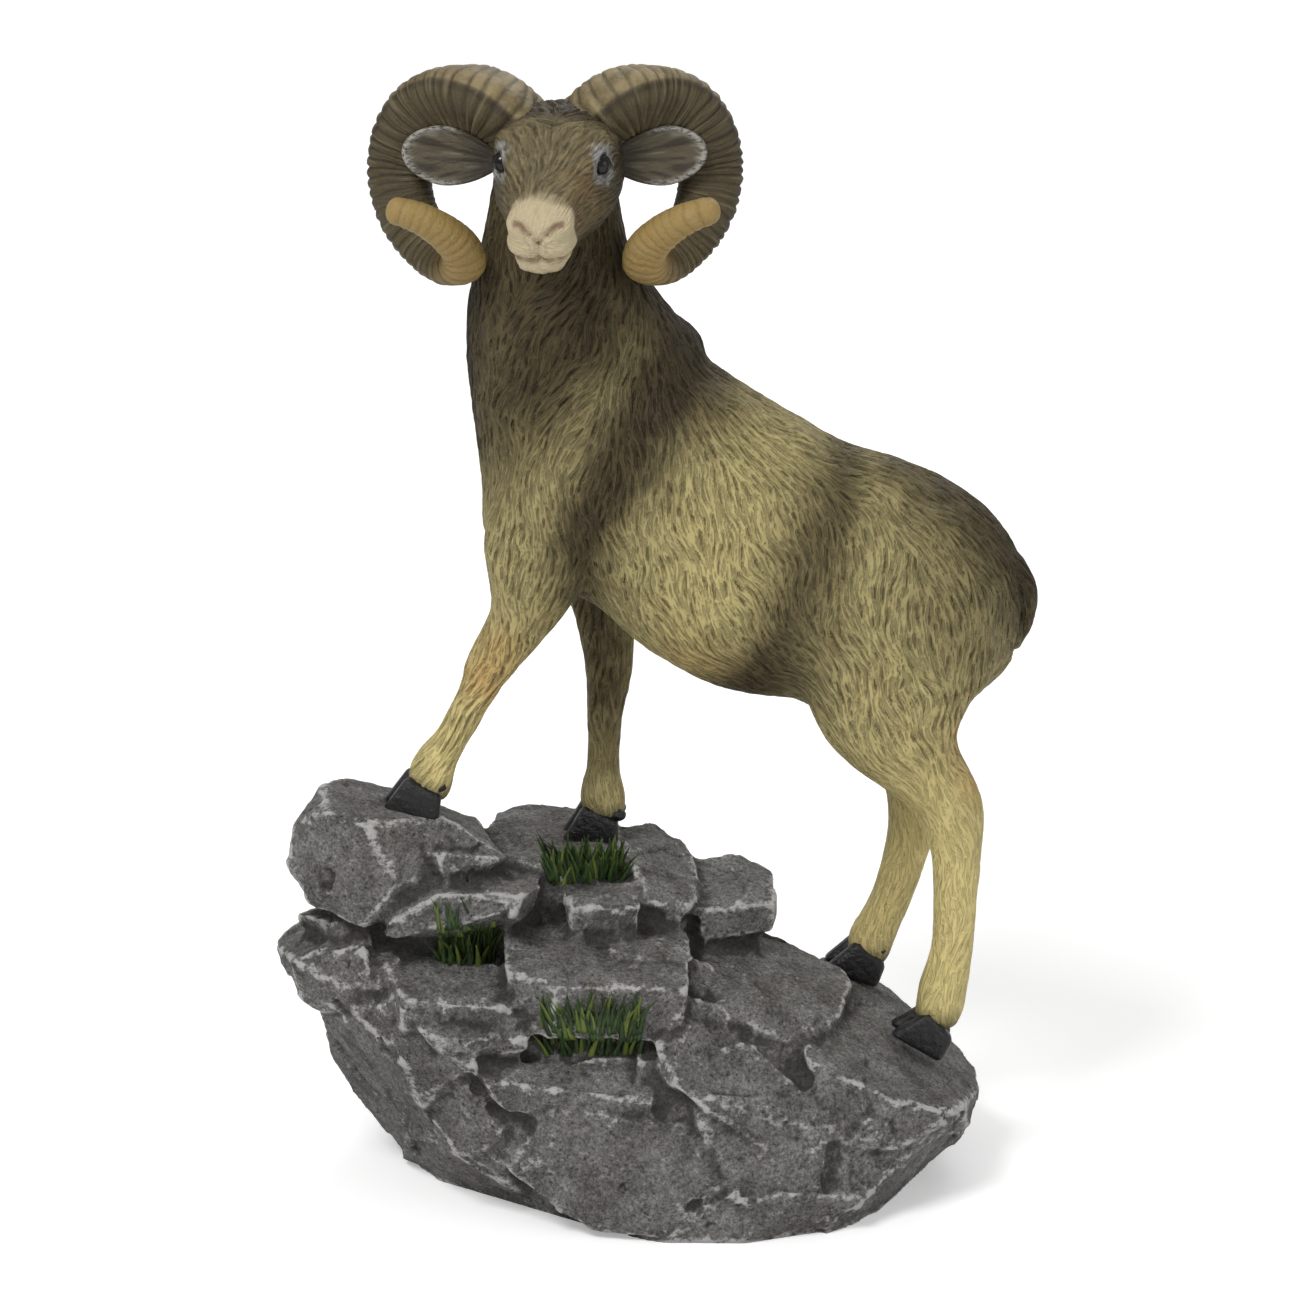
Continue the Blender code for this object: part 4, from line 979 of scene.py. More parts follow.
# Where the coat is painted lighter or darker, seen from the side. Each line gives the spots
# between its corners and the corners: x, z, reach and strength.
coat_marks = {
    "dark": [
        (4, [(-17, 178, 20, 1), (-16, 168, 18, 1), (-16, 158, 17, 1), (-20, 148, 12, 0.92),
             (-26, 139, 8, 0.75), (-27, 130, 6, 0.4)]),
        (4, [(-33, 162, 10, 1), (-35, 148, 9, 1), (-33, 134, 6, 0.95)]),
        (6, [(-3, 168, 7, 1), (7, 157, 8, 1), (6, 150, 10, 1), (0, 143, 8, 1), (-7, 132, 7, 1),
             (-12, 122, 6, 0.95), (-12, 108, 5, 0.7)]),
        (6, [(35, 136, 5, 0.8), (31, 125, 5.8, 0.75), (27, 114, 6, 0.75), (23, 103, 6.5, 0.8),
             (17, 93, 6, 0.9), (10, 89, 4, 0.7)]),
        (6, [(12, 150, 4, 0.8), (26, 142.5, 3.5, 0.8), (40, 135, 5, 0.85), (52, 128, 8, 0.9),
             (62, 120, 10, 0.95), (67, 108, 8, 0.9), (67, 96, 5, 0.7)]),
        (3, [(52, 121, 10, 0.5), (56, 104, 9, 0.4), (60, 92, 6, 0.35)]),
    ],
    "far_foreleg": [
        (4, [(-10, 112, 6, 0.9), (-9, 100, 6, 0.85), (-8, 88, 5, 0.8), (-8, 74, 4, 0.5)]),
    ],
    "light": [
        (5, [(14, 131, 9, 0.3), (11, 121, 11, 0.4), (11, 110, 12, 0.5), (8, 101, 8, 0.45)]),
        (6, [(42, 96, 9, 0.15), (44, 84, 9, 0.45), (48, 74, 9, 0.7), (53, 60, 9, 0.9),
             (53, 48, 9, 1), (52, 38, 8, 1)]),
        (4, [(-24, 104, 5, 0.25), (-30, 90, 6, 0.7), (-36, 80, 6, 0.9)]),
        (4, [(46, 66, 5, 0.7), (45, 54, 6, 0.8), (41, 42, 6, 0.9)]),
        (2, [(-18, 117, 5, 0.15), (-19, 110, 5, 0.2)]),
    ],
    "orange": [
        (2, [(-26, 100, 4, 0.8), (-29, 94, 4, 1)]),
        (2, [(56, 84, 4, 0.8), (58, 76, 3, 1)]),
        (2, [(6, 99, 4, 0.5), (14, 96, 4, 0.5)]),
    ],
    # Painted shade: the darkest marks, along the back edges of the neck and rump, over the withers and
    # under the belly.
    "deep_shade": [
        (4, [(-33, 168, 7, 1), (-33, 150, 7, 1), (-33, 138, 5.5, 0.9), (-33, 126, 4, 0.5)]),
        (3, [(25, 93, 5, 0.7), (16, 88, 4.5, 0.8), (8, 91, 3, 0.5)]),
        (4, [(-8, 166, 8, 0.6), (2, 158, 6, 0.8), (9, 149, 6, 0.8), (0, 143, 4, 0.5)]),
        (3, [(66, 116, 6, 0.5), (68, 106, 5, 0.5)]),
    ],
}
fetlock_places = [(-39.6, -9.0, 72.0), (-9.5, 8.0, 61.5), (50.0, -10.0, 29.5), (38.2, 10.0, 33.8)]
fetlock_reach = 5.2

wander = wandered(points, 1.3, 3.0, 60)
marked = {}
for name, lines in coat_marks.items():
    spots = [spot for steps, corners in lines for spot in chain(corners, steps)]
    marked[name] = near_spots(wander, spots)
dark = np.maximum(marked["dark"], marked["far_foreleg"] * np.clip(points[:, 1] / 2.0, 0, 1))
dark = np.maximum(dark, 0.8 * tail_skin)
store(ram.data, "dark", np.clip(dark * 1.1, 0, 1))
# The crease round the tail is given painted shade too.
store(ram.data, "deep_shade", np.maximum(marked["deep_shade"], 0.8 * tail_crease))
store(ram.data, "light", marked["light"])
store(ram.data, "orange", marked["orange"])
fetlocks = np.zeros(len(points))
for place in fetlock_places:
    distance = np.linalg.norm((points - place) * (0.7, 0.7, 1.0), axis=1)
    fetlocks = np.maximum(fetlocks, np.clip((fetlock_reach - distance) / 3.6, 0, 1))
store(ram.data, "fetlock", fetlocks)

coat_paint = Paint("painted_coat", 0.62, 0.3)
mottle = coat_paint.noise(coat_paint.place(), 0.35, 4.0, 0.6)
warmth = coat_paint.noise(coat_paint.place(turn=(0.5, 0.9, 0.1)), 0.12, 3.0, 0.6)
tint = coat_paint.noise(coat_paint.place(turn=(0.2, 0.4, 0.9)), 1.3, 3.0, 0.7)
coat_paint.base(mottle.clamped(0.3, 0.7), (148, 137, 95), (168, 156, 108))
coat_paint.coat(warmth.clamped(0.5, 0.75) * 0.25, (156, 130, 84))
coat_paint.coat(coat_paint.attribute("light"), (206, 189, 128))
coat_paint.coat(coat_paint.attribute("orange") * 0.4, (184, 128, 66))
coat_paint.coat(coat_paint.attribute("dark"), (72, 62, 40))
# Painted shade: the darkest brown, along the neck's and rump's edges, under the belly and round the tail.
coat_paint.coat(coat_paint.attribute("deep_shade") * 0.7, (44, 37, 25))
coat_paint.coat(tint.clamped(0.6, 0.8) * 0.22, (150, 96, 66))
coat_paint.coat((1.0 - tint.clamped(0.2, 0.4)) * 0.22, (84, 100, 62))
fine_hair = coat_paint.strokes(2.5, 1.9, 9).clamped(0.42, 0.54)
coat_paint.shade(1.05 - (1.0 - fine_hair) * coat_paint.attribute("short_coat") * 0.36)
coat_paint.shade(1.03 - coat_paint.attribute("groove") * 0.46)
coat_paint.coat(coat_paint.attribute("fetlock") * 0.93, (40, 35, 32))
coat_material = coat_paint.finish(fine_hair, 0.00025)


def cut_piece(source, name, planes, material):
    """A closed part of a piece, with what lies beyond each plane cut away and crisp edges."""
    shape = bmesh.new()
    shape.from_mesh(source.data)
    for place, away in planes:
        cut = bmesh.ops.bisect_plane(
            shape, geom=shape.verts[:] + shape.edges[:] + shape.faces[:], dist=1e-7,
            plane_co=Vector(place) * MM, plane_no=Vector(away), clear_outer=True)
        rim = [item for item in cut["geom_cut"] if isinstance(item, bmesh.types.BMEdge)]
        bmesh.ops.holes_fill(shape, edges=rim, sides=0)
        for edge in rim:
            edge.smooth = False
    for face in shape.faces:
        face.smooth = True
    piece = new_piece(name, shape)
    piece.data.materials.append(material)
    return piece


# The casting is cut into four pieces, at the foot of the neck and across the trunk.
neck_cut = (0, 0, 141)
front_cut = (12, 0, 0)
rear_cut = (36, 0, 0)
ram_cuts = {
    "ram_neck": [(neck_cut, -UP)],
    "ram_forequarters": [(neck_cut, UP), (front_cut, -FORWARD)],
    "ram_barrel": [(neck_cut, UP), (front_cut, FORWARD), (rear_cut, -FORWARD)],
    "ram_hindquarters": [(neck_cut, UP), (rear_cut, FORWARD)],
}
for name, planes in ram_cuts.items():
    piece = cut_piece(ram, name, planes, coat_material)
    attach(piece, "root")
    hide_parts("bighorn_figurine")
bpy.data.objects.remove(ram, do_unlink=True)


# The head: part of the same casting, turned to look out sideways. Its own sections are
# swept from poll to lips, then the brow, eye sockets, nostrils and mouth are carved in.
poll = Vector((-14.5, 2.0, 189.0))
lips = Vector((-18.3, -31.0, 177.5))
head_forward = (lips - poll).normalized()
head_up = (UP - head_forward * UP.dot(head_forward)).normalized()
head_side = head_forward.cross(head_up)
head_grain = 0.34
eye_seat = (17.2, 8.5, 2.7)
crown_swirl = (12.5, -0.6, 8.0)
face_hair_depth = 0.06
crown_hair_depth = 0.24

# From poll to lips: distance along the axis, half width, height above, depth below.
head_rows = [
    (-2.0, 5.0, 2.0, 5.0), (0.0, 8.5, 4.6, 8.0), (4.0, 10.0, 6.6, 11.0), (9.0, 10.7, 8.1, 13.0),
    (13.0, 10.5, 7.9, 13.0), (17.0, 9.6, 6.7, 12.0), (21.0, 8.0, 5.8, 11.0), (25.0, 6.5, 5.0, 10.2),
    (29.0, 5.7, 4.5, 9.4), (32.0, 5.6, 4.1, 8.8), (34.5, 5.1, 3.2, 7.8), (36.0, 4.0, 2.0, 6.2),
    (36.9, 2.4, 0.8, 3.6),
]


def head_place(ahead, beside, above):
    """A place given along, beside and above the head's axis."""
    return poll + head_forward * ahead + head_side * beside + head_up * above


def on_both_sides(corners):
    """A line of head places on the left and on the right, or once if it is in the middle."""
    mirrored = [(ahead, -beside, above) for ahead, beside, above in corners]
    return [corners] if mirrored == corners else [corners, mirrored]


def distance_to_line(points, corners):
    """The distance from each point to a line of corners."""
    nearest = np.full(len(points), 1e9)
    places = [np.array(corner) for corner in corners]
    for start, end in zip(places, places[1:] or places):
        along = end - start
        length = max((along ** 2).sum(), 1e-9)
        share = np.clip(((points - start) @ along) / length, 0, 1)
        nearest = np.minimum(nearest, np.linalg.norm(points - start - share[:, None] * along, axis=1))
    return nearest


def face_line(corners):
    """A line of head places laid on the head's surface as it is before it is carved."""
    return [uncarved.find_nearest(head_place(*corner) * MM)[0] / MM for corner in corners]


def distance_to_feature(points, corners):
    """The distance to a line on the face, on either side."""
    sides = on_both_sides(corners)
    return np.minimum(*(distance_to_line(points, face_line(side)) for side in sides))


def faded(values, start, width):
    """A number that rises from 0 at start to 1 a width further on."""
    return np.clip((values - start) / width, 0, 1)


def skin_tree(piece):
    """A piece's faces, for finding places on them."""
    corners = [vert.co for vert in piece.data.vertices]
    return BVHTree.FromPolygons(corners, [face.vertices[:] for face in piece.data.polygons])


head_shape = bmesh.new()
rings = []
for distance, width, rise, drop in smooth_rows(head_rows, 5):
    rings.append(section_ring(poll + head_forward * distance, head_forward, UP, width, rise, drop, 2.5))
roll_skin(head_shape, rings)
bmesh.ops.recalc_face_normals(head_shape, faces=head_shape.faces)
head = grow_skin(new_piece("ram_head", head_shape), head_grain, 24)
uncarved = skin_tree(head)
points = read_points(head.data)
normals = read_normals(head.data)

# What is carved on the face, on both sides: its reach, how far it stands out or sinks in,
# and its line along, beside and above the head's axis.
nostril_slit = [(34.6, 3.6, 1.5), (35.4, 2.9, 1.9), (36.4, 1.5, 0.6)]
mouth_slit = [(36.0, 0.0, -3.8), (35.2, 2.6, -4.0), (33.0, 4.7, -4.4), (29.5, 5.6, -5.2)]
face_carving = {
    "brow": (1.7, 0.95, [(13.5, 9.0, 5.4), (17.0, 8.4, 5.3), (20.5, 6.6, 4.4)]),
    "eye_socket": (1.9, -0.8, [(15.6, 9.9, 2.3), (17.2, 9.5, 2.6), (19.2, 8.6, 2.3)]),
    "lower_lid": (1.2, 0.45, [(14.2, 10.0, 0.0), (17.0, 9.4, -0.2), (20.0, 8.3, 0.2)]),
    "muzzle_side": (2.0, -0.55, [(21.0, 7.4, 0.8), (25.0, 6.2, 0.2), (29.5, 5.6, -0.8)]),
    "jaw": (3.2, 0.7, [(9.0, 10.4, -5.0), (15.0, 9.6, -6.5), (20.0, 7.5, -7.5)]),
    "nostril_wing": (1.5, 0.5, [(33.6, 4.4, 1.4), (35.4, 2.9, 2.2)]),
    "nostril": (0.7, -0.85, nostril_slit),
    "nose_edge": (0.5, -0.4, [(36.6, 1.3, 0.4), (36.9, 0.1, -0.9)]),
    "lip_cleft": (0.5, -0.45, [(36.9, 0.0, -0.9), (36.6, 0.0, -3.4)]),
    "mouth": (0.6, -0.7, mouth_slit),
    "upper_lip": (1.1, 0.45, [(36.3, 1.4, -2.4), (34.6, 3.8, -2.6), (32.0, 5.2, -2.9)]),
    "lower_lip": (1.3, 0.45, [(35.6, 0.0, -5.6), (34.4, 2.6, -5.8)]),
}
relief = np.zeros(len(points))
for reach, depth, line in face_carving.values():
    for side in on_both_sides(line):
        relief += depth * np.exp(-(distance_to_line(points, face_line(side)) / reach) ** 2)
write_points(head.data, points + normals * relief[:, None])
points = read_points(head.data)
normals = read_normals(head.data)

# The hair of the face runs back from the nose, and out of a swirl on the crown.
local = points - np.array(poll)
ahead = local @ np.array(head_forward)
beside = local @ np.array(head_side)
above = local @ np.array(head_up)
lie = np.tile(-np.array(head_forward), (len(points), 1))
lie = lie + np.array(head_side) * (beside * 0.07)[:, None]
lie[above < 0] -= np.array(head_up) * 0.25
from_swirl = points - np.array(head_place(*crown_swirl))
from_swirl /= np.linalg.norm(from_swirl, axis=1)[:, None] + 1e-6
crown = faded(-ahead + 0.6 * lattice_noise(points, 1.5, 70), -14.5, 3.0) * faded(above, -1.0, 4.0)
lie = lie * (1 - crown)[:, None] + from_swirl * crown[:, None]
lie = turned_in_surface(lie, points, normals, 0.6, 71)
strokes = hair_strokes(points, normals, lie, 0.42, 1.8, 0.5, 72)
broad = hair_strokes(points, normals, lie, 0.9, 2.6, 1.1, 73)
bare = faded(ahead, 28.0, 3.0) * faded(above, -6.5, 2.0)
depth = (face_hair_depth + crown_hair_depth * crown) * (1 - 0.85 * bare)
grooves = np.clip(-strokes - 0.2, 0, 1.3)
write_points(head.data, points + normals * (depth * (broad * 0.5 - grooves))[:, None])

# Where the face is painted lighter or darker.
eye_spots = [face_line(line)[0] for line in on_both_sides([eye_seat])]
to_eye = np.minimum(*(np.linalg.norm(points - np.array(spot), axis=1) for spot in eye_spots))
to_cheek = distance_to_line(points, face_line([(22.0, -6.5, 2.5), (27.0, -5.0, 1.0)]))
pale = faded(ahead + 1.4 * lattice_noise(points, 1.6, 74), 29.0, 3.2) * faded(above, -9.0, 3.0)
forehead = faded(-ahead + lattice_noise(points, 1.5, 75), -13.0, 3.5)
throat = faded(-above, 6.0, 3.0) * (1 - pale)
# Painted shade: the underside and the sides of the head are painted darker, away from the pale muzzle.
shaded_underside = faded(-above + 0.8 * lattice_noise(points, 1.6, 77), 4.5, 4.0)
shaded_sides = faded(np.abs(beside), 7.5, 3.0) * faded(-above, -4.0, 3.0)
store_lie(head.data, lie)
store(head.data, "pale", pale)
store(head.data, "crown", np.maximum(forehead, throat))
store(head.data, "under", np.maximum(shaded_underside, shaded_sides) * (1 - pale))
store(head.data, "groove", grooves * (1 - 0.8 * bare))
store(head.data, "strand", strokes * 0.2 + 0.5)
store(head.data, "eye_ring", faded(-to_eye + 0.7 * lattice_noise(points, 0.7, 76), -3.9, 1.2))
store(head.data, "eye_rim", faded(-to_eye, -2.2, 0.4))
store(head.data, "nostril", faded(-distance_to_feature(points, nostril_slit), -0.75, 0.5))
store(head.data, "mouth", faded(-distance_to_feature(points, mouth_slit), -0.62, 0.45))
store(head.data, "cheek_warmth", np.exp(-(to_cheek / 3.5) ** 2))

face_paint = Paint("painted_face", 0.6, 0.35)
mottle = face_paint.noise(face_paint.place(), 0.5, 4.0, 0.6)
face_paint.base(mottle.clamped(0.3, 0.7), (100, 90, 64), (122, 109, 79))
# Painted shade on the underside and the sides of the head.
face_paint.coat(face_paint.attribute("under") * 0.8, (58, 52, 37))
face_paint.coat(face_paint.attribute("cheek_warmth") * 0.25, (140, 100, 60))
face_paint.coat(face_paint.attribute("strand").clamped(0.55, 0.95) * 0.2, (150, 136, 102))
face_paint.coat(face_paint.attribute("crown") * 0.9, (60, 51, 38))
face_paint.coat(face_paint.attribute("pale") * 0.95, (190, 175, 142))
silver = face_paint.attribute("eye_ring") * mottle.clamped(0.25, 0.5)
face_paint.coat(silver * 0.8, (164, 165, 165))
face_paint.coat(face_paint.attribute("eye_rim") * 0.85, (34, 31, 29))
face_paint.coat(face_paint.attribute("nostril") * 0.85, (108, 74, 62))
face_paint.coat(face_paint.attribute("mouth") * 0.75, (120, 84, 56))
face_hair = face_paint.strokes(2.8, 2.2, 9).clamped(0.42, 0.58)
hairy = 1.0 - face_paint.attribute("pale") * 0.9
face_paint.shade(1.0 - hairy * (0.3 - face_hair * 0.42))
face_paint.shade(1.0 - face_paint.attribute("groove") * hairy * 0.45)
head.data.materials.append(face_paint.finish(face_hair, 0.00015))
head.data.shade_smooth()
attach(head, "root")
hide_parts("bighorn_figurine")


# The eyes: two round beads cast in the carved sockets, painted with glossy black lacquer.
# They sit a little sunk, so that the lids overlap them.
eye_radius = 1.75
eye_shape = bmesh.new()
for spot in eye_spots:
    inward = (head_place(15.0, 0, 0) - Vector(spot)).normalized()
    place = Matrix.Translation((Vector(spot) + inward * eye_radius * 0.4) * MM)
    bmesh.ops.create_uvsphere(
        eye_shape, u_segments=32, v_segments=20, radius=eye_radius * MM, matrix=place)
eyes = new_piece("ram_eyes", eye_shape)
eyes.data.shade_smooth()
gloss_black = Paint("gloss_black", 0.16, 0.35)
gloss_black.shader.inputs["Base Color"].default_value = (0.004, 0.0035, 0.003, 1)
gloss_black.shader.inputs["Coat Weight"].default_value = 0.15
eyes.data.materials.append(gloss_black.material)
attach(eyes, "root")
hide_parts("bighorn_figurine")


# The horns: heavy keeled horns that curl out, down and forward again to blunt golden tips.
# They are cast in resin with the head, and their carved year rings are picked out with
# darker paint. The middle line is given for the horn on the right of the picture.
head_middle_x = -16.2
horn_root_radius = 6.5
horn_side_radius = 5.2
horn_tip_radius = 2.3
horn_ring_pitch = 1.55
horn_ring_height = 0.46
horn_keel_lean = 0.62
horn_rings = 360
horn_sides = 76
horn_tip_rings = 8

# The centre line from root to tip: distance from the head's middle, y, z.
horn_line = [
    (4.6, -1.5, 187.0), (8.4, -3.2, 191.8), (12.6, -2.6, 194.2), (17.2, 0.0, 193.9),
    (21.5, 2.0, 191.6), (24.6, 3.0, 187.5), (26.0, 4.0, 182.0), (25.8, 3.0, 177.0),
    (24.2, 1.0, 172.4), (21.1, -2.0, 168.7), (17.8, -6.0, 166.8), (15.4, -10.0, 167.9),
    (15.5, -13.0, 171.0), (18.0, -15.5, 174.2), (21.2, -17.0, 176.6), (24.1, -17.5, 177.9),
    (26.0, -17.5, 178.4),
]


def horn_radius(share):
    """The horn's radius at a share of its length."""
    if share < 0.45:
        return horn_root_radius + (horn_side_radius - horn_root_radius) * (share / 0.45) ** 0.8
    return horn_side_radius + (horn_tip_radius - horn_side_radius) * ((share - 0.45) / 0.55) ** 1.15


def make_horn(name, side, seed):
    """One horn, swept round its curl, with what its paint needs stored on it."""
    fine = [Vector(row) for row in smooth_rows(horn_line, 40)]
    lengths = np.concatenate([[0.0], np.cumsum([(b - a).length for a, b in zip(fine, fine[1:])])])
    wanted = np.linspace(0, lengths[-1], horn_rings + 1)
    table = np.array([list(point) for point in fine])
    path = np.stack([np.interp(wanted, lengths, table[:, axis]) for axis in range(3)], axis=1)
    centres = [Vector((head_middle_x + side * x, y, z)) for x, y, z in path]
    directions = way_ahead(centres)

    # The year rings: a wave along the horn whose pace changes every few rings.
    chooser = np.random.default_rng(seed)
    pace = np.repeat(chooser.uniform(0.72, 1.35, horn_rings // 8 + 2), 8)[:horn_rings + 1]
    phase = np.cumsum(lengths[-1] / horn_rings / (horn_ring_pitch * pace))[:, None]
    shares = np.arange(horn_rings + 1) / horn_rings
    turns = 2 * math.pi * np.arange(horn_sides) / horn_sides
    share, turn = np.meshgrid(shares, turns, indexing="ij")
    height = np.cos(turn)
    aside = np.sin(turn)
    long_way = np.stack([height * 2.0, aside * 2.0, share * 60], axis=2).reshape(-1, 3)
    bend = lattice_noise(long_way, 1.6, seed + 1).reshape(share.shape)
    ridge = np.sin(np.pi * ((phase + 0.22 * bend) % 1.0)) ** 0.7
    short_way = np.stack([height, aside, share * 260], axis=2).reshape(-1, 3)
    small = lattice_noise(short_way, 1.0, seed + 2).reshape(share.shape)
    fine_lines = np.sin(2 * np.pi * 3 * (phase + 0.3 * bend)) * np.clip(aside + 0.3, 0, 1)
    front = 0.55 + 0.45 * height
    fade = 1.0 - 0.65 * np.clip((share - 0.72) / 0.2, 0, 1)
    rise = fade * (horn_ring_height * front * (ridge - 0.6) + 0.1 * small + 0.06 * fine_lines)

    # The sections: a rounded triangle with the keel on top, turning as it goes.
    keel = Vector((0, -1, 0.1)).normalized()
    rings = []
    for index, (centre, along) in enumerate(zip(centres, directions)):
        keel = (keel - along * keel.dot(along)).normalized()
        outward = along.cross(keel) * side
        lean = horn_keel_lean * min(shares[index] / 0.3, 1.0)
        keel_way = keel * math.cos(lean) - outward * math.sin(lean)
        across = along.cross(keel_way) * side
        radius = horn_radius(shares[index])
        edged = 1.0 - max(0.0, (shares[index] - 0.6) / 0.4) * 0.8
        ring = []
        for corner, angle in enumerate(turns):
            keeled = 1.0 + edged * (0.10 * math.cos(3 * angle) + 0.03 * math.cos(2 * angle))
            reach = radius * keeled + rise[index, corner]
            upward = keel_way * reach * math.cos(angle)
            ring.append(centre + upward + across * reach * math.sin(angle))
        rings.append(ring)
    tip_ring = rings[-1]
    for step in range(1, horn_tip_rings + 1):
        angle = step / (horn_tip_rings + 1) * math.pi / 2
        middle = centres[-1] + directions[-1] * horn_tip_radius * 0.8 * math.sin(angle)
        rings.append([middle + (place - centres[-1]) * math.cos(angle) for place in tip_ring])
    shape = bmesh.new()
    roll_skin(shape, rings)
    bmesh.ops.recalc_face_normals(shape, faces=shape.faces)
    horn = new_piece(name, shape)

    # Each point of the mesh finds its place in the rings again.
    places = [place for ring in rings for place in ring]
    tree = KDTree(len(places))
    for index, place in enumerate(places):
        tree.insert(place, index)
    tree.balance()
    match = np.array([tree.find(point)[1] for point in read_points(horn.data)])
    stored = {
        "ridge": ridge,
        "fine_lines": fine_lines * 0.5 + 0.5,
        "inner_face": aside * 0.5 + 0.5,
        "share": share,
        "small": small * 0.5 + 0.5,
    }
    for key, values in stored.items():
        tip_values = np.repeat(values[-1:], horn_tip_rings, axis=0)
        store(horn.data, key, np.vstack([values, tip_values]).ravel()[match])
    horn.data.shade_smooth()
    horn.data.materials.append(horn_material)
    return horn


horn_paint = Paint("painted_horn", 0.5, 0.35)
ridge = horn_paint.attribute("ridge")
share = horn_paint.attribute("share")
turned_in = horn_paint.attribute("inner_face")
# Painted shade: the face of the horn that is turned to the front is painted darker, as the shade on it.
inner = turned_in.clamped(0.44, 0.54)
stain = horn_paint.noise(horn_paint.place(), 0.22, 4.0, 0.6)
grain = horn_paint.noise(horn_paint.place(), 1.6, 4.0, 0.65)
tip = share.clamped(0.68, 0.79)
horn_paint.base(stain.clamped(0.35, 0.65), (108, 95, 66), (142, 127, 93))
horn_paint.coat(share.clamped(0.15, 0.4) * 0.75, (88, 77, 53))
# Painted shade on the front face of the horn.
horn_paint.coat(inner * 0.85, (74, 66, 45))
# Painted shadow: a dark band under the keel, stopping short of the golden tip.
shadow_under_keel = turned_in.clamped(0.44, 0.5) * (1.0 - turned_in.clamped(0.52, 0.62))
horn_paint.coat(shadow_under_keel * (1.0 - tip) * 0.6, (40, 33, 24))
horn_paint.coat(share.clamped(0.5, 0.68) * 0.4, (98, 86, 54))
horn_paint.coat(tip * 0.95, (158, 132, 80))
small = horn_paint.attribute("small")
horn_paint.coat(small.clamped(0.5, 0.9) * 0.25, (156, 142, 108))
between_rings = 1.0 - ridge.clamped(0.1, 0.75)
horn_paint.coat(between_rings * (0.65 - tip * 0.42), (48, 40, 28))
fine_lines = 1.0 - horn_paint.attribute("fine_lines").clamped(0.2, 0.5)
horn_paint.coat(fine_lines * inner * 0.4, (40, 34, 24))
horn_paint.coat(grain.clamped(0.5, 0.8) * 0.25, (50, 42, 30))
horn_material = horn_paint.finish(grain, 0.0003)
for name, side, seed in (("right_horn", 1, 81), ("left_horn", -1, 91)):
    horn = make_horn(name, side, seed)
    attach(horn, "root")
    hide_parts("bighorn_figurine")


# The ears: cupped leaves that lie inside the curl of the horns, cast in resin with the
# head and painted dark with a silvery rim. Each is a flattened sphere, hollowed on its
# front, where locks of hair fan out.
ear_length = 17.0
ear_width = 9.6
ear_thickness = 3.2
ear_root = (9.0, -5.0, 184.2)
ear_cup_depth = 1.25
ear_lock_depth = 0.28


def make_ear(name, side):
    """One ear with its cup open to the front."""
    from_middle, y, z = ear_root
    base = Vector((head_middle_x + side * from_middle, y, z))
    outward = Vector((side * 1.0, 0.16, 0.05)).normalized()
    forward = Vector((-outward.y, outward.x, 0)) * side
    shape = bmesh.new()
    lengthwise = Matrix.Rotation(math.pi / 2, 4, "Y")
    bmesh.ops.create_uvsphere(shape, u_segments=80, v_segments=60, radius=MM, matrix=lengthwise)
    ear = new_piece(name, shape)
    along, across, rise = read_points(ear.data).astype(float).T
    spread = np.hypot(along, rise)
    cup = np.where(across < 0, np.clip(1.0 - spread ** 2.2, 0, 1), 0.0)
    rim = np.exp(-((spread - 0.93) / 0.10) ** 2) * (across < 0.25)
    fan = np.arctan2(rise, along + 1.5)
    fanned = np.stack([along * 2.2, fan * 16.0, np.zeros(len(fan))], axis=1)
    locks = lattice_noise(fanned, 1.0, 95)
    hollowed = across + cup * (ear_cup_depth + ear_lock_depth * locks)
    taper = 1.1 - 0.26 * np.clip(0.25 - along, 0, 1) ** 1.2
    reach = along * ear_length / 2
    depth = hollowed * ear_thickness / 2 - 0.35 * rim
    height = rise * taper * ear_width / 2
    ways = np.array([list(outward), list(forward), list(UP)])
    middle = np.array(base + outward * ear_length / 2)
    write_points(ear.data, np.stack([reach, depth, height], axis=1) @ ways + middle)
    store(ear.data, "rim", rim)
    store(ear.data, "cup", cup)
    store(ear.data, "locks", locks * 0.5 + 0.5)
    store(ear.data, "reach", along * 0.5 + 0.5)
    ear.data.shade_smooth()
    ear.data.materials.append(ear_material)
    return ear


ear_paint = Paint("painted_ear", 0.6)
down = ear_paint.noise(ear_paint.place(scale=(1, 1, 2.2)), 1.1, 4.0, 0.7)
reach = ear_paint.attribute("reach")
cup = ear_paint.attribute("cup")
locks = ear_paint.attribute("locks")
hairy_cup = cup.clamped(0.05, 0.4)
ear_paint.base(down.clamped(0.35, 0.65), (58, 51, 38), (88, 79, 60))
ear_paint.coat(cup.clamped(0.05, 0.5) * 0.8, (98, 90, 72))
between_locks = 1.0 - locks.clamped(0.25, 0.5)
ear_paint.coat(between_locks * hairy_cup * 0.75, (46, 40, 31))
ear_paint.coat(locks.clamped(0.6, 0.85) * hairy_cup * 0.6, (150, 146, 134))
silver = ear_paint.attribute("rim") * down.clamped(0.35, 0.6) * reach.clamped(0.3, 0.55)
ear_paint.coat(silver * 0.9, (178, 176, 168))
# Painted shade: the root of the ear, which lies under the horn, is darkened.
ear_paint.coat((1.0 - reach.clamped(0.12, 0.5)) * 0.85, (48, 41, 31))
ear_material = ear_paint.finish(down, 0.0004)
for name, side in (("right_ear", 1), ("left_ear", -1)):
    ear = make_ear(name, side)
    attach(ear, "root")
    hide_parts("bighorn_figurine")


